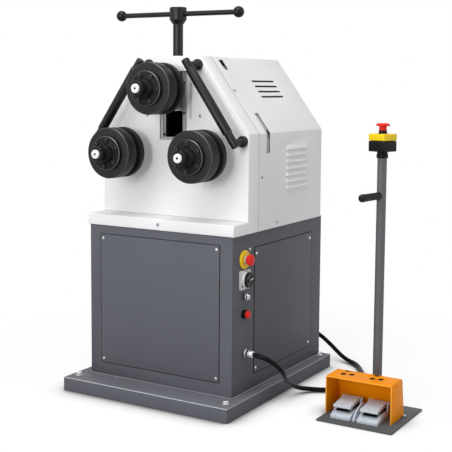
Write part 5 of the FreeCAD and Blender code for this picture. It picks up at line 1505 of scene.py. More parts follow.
@dataclass(frozen=True)
class Fold:
    """A straight bend or edge, from one point to another, in millimetres."""

    start: Place
    end: Place

    def mirrored(self) -> "Fold":
        """The same fold on the other side of the machine."""
        return Fold((-self.start[0], *self.start[1:]), (-self.end[0], *self.end[1:]))

    def holds(self, point: Vector) -> bool:
        """Whether a point lies on the fold.

        Args:
            point: The point, in metres.

        Returns:
            True where it does.
        """
        start, end = Vector(self.start) * MM, Vector(self.end) * MM
        run = end - start
        share = (point - start).dot(run) / run.length_squared
        near = start + run * min(1.0, max(0.0, share))
        return (point - near).length < 0.12 * MM


def both_sides(*folds: Fold) -> list[Fold]:
    """The folds given and their mirror images."""
    return [*folds, *(fold.mirrored() for fold in folds)]


def folded(
    node: str, name: str, folds: Sequence[Fold], radius: float, finish: Finish, slot: str
) -> bpy.types.Object:
    """A packed sheet-metal node of the machine with its bends rounded.

    Args:
        node: The node that the piece stands for.
        name: The piece's name.
        folds: The edges that are bends.
        radius: The bends' outer radius, in millimetres.
        finish: Its finish.
        slot: The record's material slot.

    Returns:
        The piece.
    """
    piece = Bench.traced(node, name)

    def is_bend(edge: bpy.types.MeshEdge) -> bool:
        """Whether an edge lies on one of the folds."""
        first, second = Bench.ends(piece, edge)
        return any(fold.holds(first) and fold.holds(second) for fold in folds)

    Bench.bevel(piece, is_bend, radius, 3, clamp=True)
    bpy.ops.object.shade_smooth_by_angle(angle=Bench.SMOOTH)
    return finish_piece(piece, finish, "machine", slot, node)


def eased(
    node: str, name: str, width: float, finish: Finish, slot: str, body: str = "machine",
    angle: float = 40.0,
) -> bpy.types.Object:
    """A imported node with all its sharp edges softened.

    Args:
        node: The node that the piece stands for.
        name: The piece's name.
        width: The width of the softened edges, in millimetres.
        finish: Its finish.
        slot: The record's material slot.
        body: The body it moves with.
        angle: The least angle of an edge that is softened, in degrees.

    Returns:
        The piece.
    """
    piece = Bench.soften(Bench.traced(node, name), width, angle=angle)
    return finish_piece(piece, finish, body, slot, node)


# ---------------------------------------------------------------- hood


@dataclass
class Hood:
    """The white hood: folded front panel and shell, louvres, seam and screws."""

    half: float = 276.0
    front: float = -270.0
    panel: float = -183.0
    seam: float = -118.0
    back: float = 330.0
    foot: float = 540.0
    ledge: float = 576.0
    crease: float = 845.0
    top: float = 1084.0
    top_half: float = 99.0
    bend: float = 2.4
    louvres: int = 7
    louvre_foot: float = 658.0
    louvre_pitch: float = 21.3
    louvre_middle: float = 139.0
    louvre_length: float = 147.0
    louvre_height: float = 16.0
    louvre_reach: float = 6.8
    louvre_brow: float = 0.4
    louvre_shoulder: float = 3.6
    louvre_lip: float = 0.7
    louvre_gap: float = 2.0
    louvre_shadow_inset: float = 3.0
    seam_width: float = 2.2
    seam_proud: float = 0.12
    seam_sheet: float = 0.3
    scale_low: Place = (62.6, -181.6, 888.6)
    scale_high: Place = (69.2, -177.9, 999.2)
    front_screws: tuple[tuple[float, float], ...] = ((-100.0, 897.0), (100.0, 897.0))
    skirt_screw: float = 558.0
    side_screws: tuple[tuple[float, float], ...] = ((-99.0, 708.0), (4.0, 556.0))
    slope_screw: tuple[float, float] = (-105.0, 977.0)

    def build(self) -> None:
        """Builds and dresses the hood."""
        self.front_panel()
        self.shell()
        self.louvre_rows()
        self.seam_gap()
        self.panel_foot()
        self.scale()
        self.screws()

    def front_panel(self) -> None:
        """The front panel, folded round its slopes, ledge and skirt."""
        half, front, panel, seam = self.half, self.front, self.panel, self.seam
        ledge, crease, top, top_half = self.ledge, self.crease, self.top, self.top_half
        bends = both_sides(
            Fold((half, panel, ledge), (half, panel, crease)),
            Fold((half, panel, crease), (top_half, panel, top)),
            Fold((half, front, self.foot), (half, front, ledge)),
            Fold((half, front, ledge), (half, panel, ledge)),
            Fold((half, panel, crease), (half, seam, crease)),
            Fold((top_half, panel, top), (top_half, seam, top)),
        )
        bends.append(Fold((-half, front, ledge), (half, front, ledge)))
        bends.append(Fold((-top_half, panel, top), (top_half, panel, top)))
        folded("front_panel", "hood_front", bends, self.bend, HOUSING_WHITE, "white_paint")

    def shell(self) -> None:
        """The cover behind the front panel."""
        half, seam, back = self.half, self.seam, self.back
        crease, top, top_half = self.crease, self.top, self.top_half
        bends = both_sides(
            Fold((half, seam, crease), (half, back, crease)),
            Fold((top_half, seam, top), (top_half, back, top)),
            Fold((half, back, self.foot), (half, back, crease)),
            Fold((half, back, crease), (top_half, back, top)),
        )
        bends.append(Fold((-top_half, back, top), (top_half, back, top)))
        folded("hood_shell", "hood_cover", bends, self.bend, HOUSING_WHITE, "white_paint")

    def panel_foot(self) -> None:
        """The thin joint where the panel stands on the ledge."""
        end = self.half - 2.0
        joint = Bench.block(
            "ledge_joint", (-end, self.panel - 1.6, self.ledge - 0.3),
            (end, self.panel + 0.2, self.ledge + 0.7), 0.4, Axis.X,
        )
        finish_piece(joint, JOINT_AND_SHADE_BLACK, "machine", "white_paint")

    def scale(self) -> None:
        """The pale strip behind the scale slot."""
        strip = Bench.block("scale_strip", self.scale_low, self.scale_high, 0.5, Axis.Y)
        Bench.soften(strip, 0.2)
        finish_piece(strip, SCALE_WHITE, "machine", "white_paint")

    def cowl(self) -> bpy.types.Object:
        """One louvre's cowl, its foot on the X axis and its mouth down, towards -Y.

        Returns:
            The cowl.
        """
        length, height, reach = self.louvre_length, self.louvre_height, self.louvre_reach
        brow = reach - self.louvre_brow
        cowl = Bench.start(
            bpy.ops.mesh.primitive_cube_add, "louvre", size=1.0, location=(0.0, height / 2 * MM, 0.0),
            scale=Vector((length, height, 2 * reach)) * MM,
        )

        def ends(edge: bpy.types.MeshEdge) -> list[Vector]:
            """An edge's two ends, in millimetres."""
            return [end / MM for end in Bench.ends(cowl, edge)]

        def upper_outer(edge: bpy.types.MeshEdge) -> bool:
            """Whether an edge is the outer one at the top."""
            return all(end.z > reach - 0.1 and end.y > height - 0.1 for end in ends(edge))

        def shoulder(edge: bpy.types.MeshEdge) -> bool:
            """Whether an edge is one of the two that slope down the ends."""
            first, second = ends(edge)
            return min(first.z, second.z) > 0.1 and abs(first.x - second.x) < 0.1

        def lip(edge: bpy.types.MeshEdge) -> bool:
            """Whether an edge is the outer one of the mouth."""
            return all(end.z > reach - 0.6 and end.y < 0.1 for end in ends(edge))

        Bench.choose_edges(cowl, upper_outer)
        Bench.edit_chosen(cowl, lambda: bpy.ops.transform.translate(value=(0.0, 0.0, -brow * MM)))
        Bench.bevel(cowl, shoulder, self.louvre_shoulder, 4)
        Bench.bevel(cowl, lip, self.louvre_lip, 2)
        bpy.ops.object.shade_smooth_by_angle(angle=math.radians(50))
        return cowl

    def louvre_rows(self) -> None:
        """Pressed louvres with rounded ends, over the openings of both sides, each with a painted shadow
        strip below.
        """
        places = []
        for side in (-1, 1):
            turn = Matrix(((0, 0, side, 0), (side, 0, 0, 0), (0, 1, 0, 0), (0, 0, 0, 1)))
            for number in range(self.louvres):
                z = self.louvre_foot + number * self.louvre_pitch
                places.append(stood((side * self.half, self.louvre_middle, z)) @ turn)
        cowls = Bench.joined("side_louvres", Bench.copies(self.cowl(), places))
        finish_piece(cowls, HOUSING_WHITE, "machine", "white_paint")
        # A thin grey strip on the wall under each louvre's mouth is its painted shadow.
        end = self.louvre_length / 2 - self.louvre_shadow_inset
        shade_gap = Bench.block(
            "louvre_gap", (-end, -self.louvre_gap, -0.6), (end, 0.0, 0.2), self.louvre_gap * 0.4, Axis.Z
        )
        shadow_strips = Bench.joined("louvre_gaps", Bench.copies(shade_gap, places))
        finish_piece(shadow_strips, SEAM_GREY, "machine", "white_paint")

    def seam_gap(self) -> None:
        """The shaded joint between the front panel and the cover, as a thin strip over both."""
        half, top_half = self.half + self.seam_proud, self.top_half + self.seam_proud
        top = self.top + self.seam_proud
        path = [
            (half, self.foot), (half, self.crease), (top_half, top),
            (-top_half, top), (-half, self.crease), (-half, self.foot),
        ]
        points = [Vector((x, self.seam - self.seam_width / 2, z)) * MM for x, z in path]
        piece = Bench.start(bpy.ops.mesh.primitive_plane_add, "hood_seam", size=MM, location=points[0])

        def follow() -> None:
            """Draws the seam's path and widens it."""
            Bench.chain(points)
            bpy.ops.mesh.extrude_region_move(
                TRANSFORM_OT_translate={"value": Vector((0.0, self.seam_width * MM, 0.0))}
            )
            bpy.ops.mesh.select_all(action="SELECT")
            bpy.ops.mesh.normals_make_consistent(inside=False)

        Bench.edit(piece, follow)
        thick = piece.modifiers.new("strip", "SOLIDIFY")
        thick.thickness = self.seam_sheet * MM
        bpy.ops.object.modifier_apply(modifier=thick.name)
        finish_piece(piece, SEAM_GREY, "machine", "white_paint")

    def screws(self) -> None:
        """Small plated screws in the front, the skirt, the sides and the slopes."""
        rise, run = self.top - self.crease, self.half - self.top_half
        places = [facing((x, self.panel, z), FORWARD) for x, z in self.front_screws]
        places.append(facing((0.0, self.front, self.skirt_screw), FORWARD))
        along, height = self.slope_screw
        inset = (height - self.crease) * run / rise
        for side in (-1, 1):
            for y, z in self.side_screws:
                places.append(facing((side * self.half, y, z), (side, 0.0, 0.0)))
            places.append(facing((side * (self.half - inset), along, height), (side * rise, 0.0, run)))
        HOOD_SCREW.row("hood_screws", places, DULL_PLATE, "machine", "white_paint")


# ---------------------------------------------------------------- cabinet


@dataclass(frozen=True)
class Cover:
    """A flat cover that is screwed to a wall of the cabinet, with the painted shade of the narrow joint
    round it; in millimetres.
    """

    node: str
    side: str
    wall: float
    outward: Place
    span: tuple[float, float]
    heights: tuple[float, float]
    screw_span: tuple[float, float]
    screw_heights: tuple[float, float]
    sheet: float = 2.0
    edge_shade_lap: float = 1.6
    edge_shade_face: float = 0.5

    def point(self, out: float, across: float, height: float) -> Place:
        """A point of the cover.

        Args:
            out: How far it is outside the wall.
            across: Its place along the wall.
            height: Its height.

        Returns:
            The point.
        """
        if self.outward[0]:
            return (self.wall + out * self.outward[0], across, height)
        return (across, self.wall + out * self.outward[1], height)

    def panel(self) -> None:
        """The cover with its edges softened."""
        eased(self.node, f"{self.side}_cover", 0.7, CABINET_GREY, "dark_paint")

    def edge_shade(self) -> None:
        """Painted shade of the narrow joint round the cover: a thin dark block that shows as a line round
        it.
        """
        lap, face = self.edge_shade_lap, self.edge_shade_face
        near = self.point(-face, self.span[0] - lap, self.heights[0] - lap)
        far = self.point(face, self.span[1] + lap, self.heights[1] + lap)
        low, high = tuple(map(min, near, far)), tuple(map(max, near, far))
        axis = Axis.X if self.outward[0] else Axis.Y
        edge_shade = Bench.block(f"{self.side}_seal", low, high, 2.0, axis)
        finish_piece(edge_shade, JOINT_AND_SHADE_BLACK, "machine", "dark_paint")

    def screws(self) -> list[Matrix]:
        """Where the cover's four screws stand."""
        return [
            facing(self.point(self.sheet, across, height), self.outward)
            for across in self.screw_span
            for height in self.screw_heights
        ]


@dataclass
class Cabinet:
    """The dark cabinet: body, covers, plinth and levelling bolts."""

    half: float = 270.0
    front: float = -266.0
    back: float = 350.0
    top: float = 540.0
    plinth_half: float = 310.0
    plinth_front: float = -360.0
    plinth_back: float = 360.0
    plinth_top: float = 44.0
    plinth_bend: float = 2.0
    highlight_least: float = 0.2
    bend: float = 2.4
    flange_lap: float = 9.0
    flange_rise: float = 3.0
    flange_sunk: float = 1.0
    edge_screw: Place = (270.0, -161.0, 490.0)
    bolt_inset: float = 30.0
    bolt_front_inset: float = 44.0
    bolt_back_inset: float = 32.0
    bolt_turn: float = 11.0
    bolt_head: float = 9.6
    bolt_height: float = 7.6
    bolt_shank: float = 5.0
    bolt_sunk: float = 20.0
    washer: tuple[float, float] = (5.4, 12.4)
    washer_height: float = 2.0

    @property
    def covers(self) -> tuple[Cover, ...]:
        """The three covers."""
        span, heights, screws, screw_heights = (-225.0, 225.0), (87.0, 511.0), (-215.0, 215.0), (99.0, 498.0)
        return (
            Cover("front_door", "front", self.front, FORWARD, span, heights, screws, screw_heights),
            Cover(
                "side_door", "side", self.half, RIGHTWARD,
                (-130.0, 268.0), (90.0, 491.0), (-121.0, 255.0), (106.0, 472.0),
            ),
            Cover("rear_panel", "rear", self.back, BACKWARD, span, heights, screws, screw_heights),
        )

    def build(self) -> None:
        """Builds and dresses the cabinet."""
        corners = both_sides(
            Fold((self.half, self.front, self.plinth_top), (self.half, self.front, self.top)),
            Fold((self.half, self.back, self.plinth_top), (self.half, self.back, self.top)),
        )
        folded("cabinet_shell", "cabinet_body", corners, self.bend, CABINET_GREY, "dark_paint")
        for cover in self.covers:
            cover.panel()
        for cover in self.covers:
            cover.edge_shade()
        self.plinth()
        self.foot_flange()
        self.bolts()
        screws = [facing(self.edge_screw, RIGHTWARD)]
        for cover in self.covers:
            screws += cover.screws()
        COVER_SCREW.row("cover_screws", screws, ZINC, "machine", "dark_paint")

    def plinth(self) -> None:
        """The plinth with softened edges, painted lighter on top for the light that falls there and with
        painted highlights along its rims.
        """
        half, front, back, top = self.plinth_half, self.plinth_front, self.plinth_back, self.plinth_top
        rims = both_sides(
            Fold((half, front, top), (half, back, top)),
            Fold((half, front, 0.0), (half, front, top)),
            Fold((half, back, 0.0), (half, back, top)),
        )
        rims.append(Fold((-half, front, top), (half, front, top)))
        rims.append(Fold((-half, back, top), (half, back, top)))
        box = folded("plinth", "plinth_box", rims, self.plinth_bend, CABINET_GREY, "dark_paint")
        rim_foot = (top - self.plinth_bend - 0.5) * MM

        def rim(face: bpy.types.MeshPolygon) -> bool:
            """Whether a face is on the bevel round the top."""
            return slanted(face.normal.z, self.highlight_least) and face.center.z > rim_foot

        # Painted light: top faces lighter, the side rims a painted highlight and the front rim a brighter
        # one.
        rub(box, TOP_LIT_GREY, lambda face: face.normal.z > SLANT_MOST)
        rub(box, EDGE_HIGHLIGHT_GREY, lambda face: rim(face) and abs(face.normal.x) > 0.1)
        rub(box, FRONT_HIGHLIGHT_GREY, lambda face: rim(face) and face.normal.y < -0.1)

    def foot_flange(self) -> None:
        """The cabinet's foot flange, with a painted highlight along its edge."""
        half, front, back = self.half, self.front, self.back
        lap, top = self.flange_lap, self.plinth_top
        flange = Bench.block(
            "foot_flange", (-half - lap, front - lap, top - self.flange_sunk),
            (half + lap, back + lap, top + self.flange_rise), 4.0, Axis.Z,
        )
        Bench.soften(flange, 1.2)
        finish_piece(flange, CABINET_GREY, "machine", "dark_paint")
        rub(flange, EDGE_HIGHLIGHT_GREY, lambda face: slanted(face.normal.z, self.highlight_least))

    def bolts(self) -> None:
        """Four levelling bolts with washers."""
        (near, far), thick = self.washer, self.washer_height
        head = Bench.prism("bolt_head", 6, self.bolt_head, thick, thick + self.bolt_height)
        Bench.soften(head, 0.9, 3)
        profile = [(near, 0.0), (far, 0.0), (far, thick), (near, thick), (near, 0.0)]
        washer = Bench.turn("washer", Axis.Z, ORIGIN, profile, 40)
        Bench.soften(washer, 0.4)
        shank = Bench.prism("shank", 24, self.bolt_shank, -self.bolt_sunk, thick)
        Bench.soften(shank, 0.8)
        pattern = Bench.joined("levelling_bolt", [head, washer, shank])
        across = self.plinth_half - self.bolt_inset
        places = [
            stood((x, y, self.plinth_top), self.bolt_turn + x + y)
            for x in (-across, across)
            for y in (self.plinth_front + self.bolt_front_inset, self.plinth_back - self.bolt_back_inset)
        ]
        bolts = Bench.joined("levelling_bolts", Bench.copies(pattern, places))
        finish_piece(bolts, ZINC, "machine", "zinc", "plinth_bolts")


# ---------------------------------------------------------------- head


@dataclass
class Head:
    """What the front window shows: the guide strips and their screws."""

    strip: float = 37.3
    face: float = -178.0
    rows: tuple[float, ...] = (836.0, 905.0, 1000.0)

    def build(self) -> None:
        """The guide strips, their running sides painted black as shade, and their screws."""
        strips = eased("guide_strips", "slide_strips", 0.5, STRIP_STEEL, "bronze")
        # The running sides are painted shade.
        rub(strips, JOINT_AND_SHADE_BLACK, lambda face: face.normal.x * face.center.x < -0.01)
        places = [
            facing((x, self.face, z), FORWARD) for x in (-self.strip, self.strip) for z in self.rows
        ]
        STRIP_SCREW.row("strip_screws", places, HANDLE_BLACK, "machine", "zinc")


@dataclass
class TeeHandle:
    """The pressure screw's tee handle."""

    edge: float = 1.2

    def build(self) -> None:
        """Softens the hub's edges."""
        eased("tee_hub", "handle_hub", self.edge, HANDLE_BLACK, "black_steel", "pressure_screw")


@dataclass
class GrabBar:
    """A tube with stepped ends, held off the front panel by two posts with domed bosses."""

    side: str
    sign: float
    foot: tuple[float, float] = (266.0, 808.0)
    head: tuple[float, float] = (82.0, 1071.0)
    y: float = -243.0
    panel: float = -183.0
    tube: float = 15.3
    end: float = 12.8
    end_round: float = 2.0
    groove: float = 0.8
    shoulder: float = 1.0
    foot_end: float = 50.0
    head_end: float = 35.0
    post_inset: float = 18.0
    post: float = 10.0
    boss: float = 18.0
    boss_height: float = 12.0

    def profile(self, near: float, far: float, length: float) -> Profile:
        """The tube's outline.

        Args:
            near: Where its thick part begins.
            far: Where its thick part ends.
            length: Its whole length.

        Returns:
            Pairs of a radius and a distance along the tube.
        """
        tube, end, neck = self.tube, self.end, self.end - self.groove
        edge, ease = self.shoulder, self.end_round
        return [
            (0.0, 0.0), (end - ease, 0.0), (end, ease), (end, near - 2.2), (neck, near - 1.6),
            (neck, near), (tube - edge, near), (tube, near + edge), (tube, far - edge),
            (tube - edge, far), (neck, far), (neck, far + 1.6), (end, far + 2.2),
            (end, length - ease), (end - ease, length), (0.0, length),
        ]

    def build(self) -> None:
        """Builds and dresses the bar."""
        foot, head = Vector(self.foot), Vector(self.head)
        length = (head - foot).length
        near, far = self.foot_end, length - self.head_end
        profile = self.profile(near, far, length)
        tube = Bench.turn(f"{self.side}_tube", Axis.Z, ORIGIN, profile, 56)
        Bench.soften(tube, 0.3)
        run = Vector((self.sign * (head.x - foot.x), 0.0, head.y - foot.y))
        start = Vector((self.sign * foot.x, self.y, foot.y)) * MM
        tube.data.transform(Matrix.Translation(start) @ run.to_track_quat("Z", "Y").to_matrix().to_4x4())
        pieces = [tube]
        for base, way in ((foot, head - foot), (head, foot - head)):
            place = base + way.normalized() * self.post_inset
            pieces.append(self.stand(place.x * self.sign, place.y))
        bar = Bench.joined(f"{self.side}_grab_handle", pieces)
        finish_piece(bar, HANDLE_BLACK, "machine", "black_steel", f"{self.side}_grab_bar")
        axis = run.normalized()

        def step_edge(face: bpy.types.MeshPolygon) -> bool:
            """Whether a face is on the rounded edge of one of the tube's steps."""
            along = (face.center - start).dot(axis) / MM
            off = ((face.center - start) - axis * along * MM).length / MM
            half = self.shoulder / 2
            at_step = min(abs(along - near - half), abs(along - far + half)) < 0.8
            return at_step and slanted(abs(face.normal.dot(axis))) and off > self.end

        # The rounded step edges get a lighter finish, a painted highlight.
        rub(bar, STEP_HIGHLIGHT_STEEL, step_edge)

    def stand(self, x: float, z: float) -> bpy.types.Object:
        """One post with its boss.

        Args:
            x: Its axis across the machine.
            z: Its axis's height.

        Returns:
            The post.
        """
        post, boss, panel = self.post, self.boss, self.panel
        foot = panel - self.boss_height
        profile = [
            (0.0, self.y), (post, self.y), (post, foot - 1.2), (post + 1.2, foot), (boss - 5.6, foot),
            (boss - 2.4, foot + 1.4), (boss - 0.6, foot + 4.0), (boss, foot + 7.0), (boss, panel - 1.0),
            (boss - 0.6, panel), (0.0, panel),
        ]
        return Bench.soften(Bench.turn(f"{self.side}_post", Axis.Y, (x, 0.0, z), profile, 48), 0.3)


# ---------------------------------------------------------------- side controls


@dataclass
class SideControls:
    """Emergency stop, main switch, key switch and push button on the cabinet's side."""

    wall: float = 270.0
    y: float = -196.0
    stop: float = 463.0
    switch: float = 401.0
    disc: Profile = (
        (12.0, 0.0), (28.2, 0.0), (29.0, 0.8), (29.0, 4.6), (27.6, 6.6), (25.6, 7.0), (24.2, 6.0),
        (18.0, 6.0), (16.8, 7.0), (15.4, 7.8), (14.2, 7.8), (14.2, 3.6), (12.0, 3.6), (12.0, 0.0),
    )
    neck: Profile = ((9.6, 8.2), (13.4, 8.2), (13.4, 12.8), (9.6, 12.8), (9.6, 8.2))
    slot_low: Place = (5.0, -26.0, -21.0)
    slot_high: Place = (7.6, -15.0, -14.0)
    dial: float = 23.4
    dial_foot: float = 9.3
    knob_radius: float = 23.0
    grip_half: float = 4.2
    grip_ends: tuple[float, float] = (-17.0, 17.6)
    marker_half: float = 1.8
    marker_ends: tuple[float, float] = (-1.0, 17.2)
    marker_turn: float = 78.0
    key_core: float = 12.6

    def turned(
        self, name: str, profile: Profile, finish: Finish, body: str, slot: str, *nodes: str
    ) -> bpy.types.Object:
        """A piece turned about the emergency stop's axis.

        Args:
            name: The piece's name.
            profile: Pairs of a radius and a distance from the wall.
            finish: Its finish.
            body: The body it moves with.
            slot: The record's material slot.
            nodes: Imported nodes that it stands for.

        Returns:
            The piece.
        """
        piece = Bench.turn(name, Axis.X, (self.wall, self.y, self.stop), profile, 48)
        Bench.soften(piece, 0.35)
        return finish_piece(piece, finish, body, slot, *nodes)

    def build(self) -> None:
        """Builds and dresses the controls."""
        self.turned("stop_disc", self.disc, YELLOW_PLASTIC, "machine", "yellow_plastic", "estop_plate")
        self.turned("stop_neck", self.neck, PALE_PLASTIC, "cabinet_stop", "grey_plastic")
        eased("estop_button", "stop_mushroom", 0.8, RED_PLASTIC, "red_plastic", "cabinet_stop", 25.0)
        eased("switch_plate", "switch_housing", 0.9, PALE_PLASTIC, "grey_plastic")
        self.knob()
        self.marker()
        self.padlock_slot()
        eased("key_ring", "key_bezel", 0.6, CHROME, "chrome")
        key = eased("key_lever", "key_handle", 0.5, GLOSS_BLACK, "chrome", "mode_key")
        rub(key, CHROME, lambda face: face.center.x > (self.wall + self.key_core) * MM)
        eased("push_bezel", "button_bezel", 0.6, GLOSS_BLACK, "black_plastic")
        eased("push_cap", "button_cap", 0.5, RED_PLASTIC, "red_plastic", "reset_button")

    def padlock_slot(self) -> None:
        """The slot for a padlock, beside the dial, as a dark block of painted shade."""
        middle = Vector((self.wall, self.y, self.switch))
        low, high = (tuple(middle + Vector(end)) for end in (self.slot_low, self.slot_high))
        slot = Bench.block("padlock_slot", low, high, 1.5, Axis.X)
        finish_piece(slot, JOINT_AND_SHADE_BLACK, "machine", "grey_plastic")

    def on_dial(
        self, name: str, low: float, high: float, half: float, ends: tuple[float, float], corner: float
    ) -> bpy.types.Object:
        """A bar across the dial's face, modelled upright about the X axis.

        Args:
            name: The piece's name.
            low: Its foot, from the dial's face.
            high: Its top, from the dial's face.
            half: Half its width.
            ends: Its ends along the dial.
            corner: Its corners' radius.

        Returns:
            The bar.
        """
        face = self.wall + self.dial
        return Bench.block(
            name, (face + low, -half, ends[0]), (face + high, half, ends[1]), corner, Axis.X
        )

    @property
    def pointed(self) -> Matrix:
        """The move that takes an upright bar to where the dial points."""
        return stood((0.0, self.y, self.switch), -self.marker_turn, Axis.X)

    def knob(self) -> None:
        """The round black dial with a low grip across it, turned as the marker is."""
        rim, top, foot = self.knob_radius, self.dial, self.dial_foot
        dial = Bench.turn(
            "dial_disc", Axis.X, (self.wall, self.y, self.switch),
            [
                (0.0, foot), (rim - 0.6, foot), (rim, foot + 0.7), (rim, top - 1.6), (rim - 1.4, top - 0.3),
                (rim - 4.0, top - 0.3), (rim - 5.2, top - 1.4), (0.0, top - 1.4),
            ],
        )
        Bench.soften(dial, 0.3)
        grip = self.on_dial("dial_grip", -2.0, 0.6, self.grip_half, self.grip_ends, 2.2)
        Bench.soften(grip, 0.5)
        grip.data.transform(self.pointed)
        knob = Bench.joined("switch_dial", [dial, grip])
        finish_piece(knob, GLOSS_BLACK, "main_switch", "black_plastic", "switch_knob")

    def marker(self) -> None:
        """The white line on the switch dial, pointing to the back and slightly up."""
        line = self.on_dial("dial_marker", -0.4, 0.8, self.marker_half, self.marker_ends, 0.9)
        line.data.transform(self.pointed)
        finish_piece(line, MARKER_WHITE, "main_switch", "black_plastic")


# ---------------------------------------------------------------- cable glands


@dataclass
class Glands:
    """Nickel glands with a hexagon and a ribbed cap, where the cables go in."""

    hexagon: float = 16.0
    hexagon_height: float = 9.0
    cap: float = 13.4
    cap_top: float = 29.0
    mouth: float = 8.8
    bore: float = 7.7
    length: float = 34.0
    seats: tuple[tuple[Place, Place, float], ...] = (
        ((270.0, -190.0, 168.0), RIGHTWARD, 12.0),
        ((170.0, 352.0, 110.0), BACKWARD, 8.0),
        ((572.0, -27.0, 30.0), BACKWARD, 30.0),
        ((626.0, 29.0, 28.0), BACKWARD, 30.0),
    )

    def build(self) -> None:
        """Builds one gland and sets four of them in place."""
        nut = Bench.prism("gland_nut", 6, self.hexagon, 0.0, self.hexagon_height)
        Bench.soften(nut, 1.1, 3)
        cap, top, bore, neck = self.cap, self.cap_top, self.bore, self.cap - 2.4
        foot, shoulder = 0.5, self.hexagon_height + 2.2
        profile = [
            (bore, foot), (neck, foot), (neck, shoulder), (cap, shoulder), (cap, top - 9.0),
            (cap - 1.0, top - 8.0), (cap - 1.0, top - 6.0), (cap, top - 5.0), (cap - 1.5, top),
            (self.mouth, self.length), (bore, self.length), (bore, foot),
        ]
        shell = Bench.turn("gland_cap", Axis.Z, ORIGIN, profile, 40)
        Bench.soften(shell, 0.5)
        pattern = Bench.joined("gland", [nut, shell])
        places = [facing(*seat) for seat in self.seats]
        glands = Bench.joined("nickel_glands", Bench.copies(pattern, places))
        finish_piece(glands, NICKEL, "machine", "chrome", "cable_glands")


# ---------------------------------------------------------------- pedal station


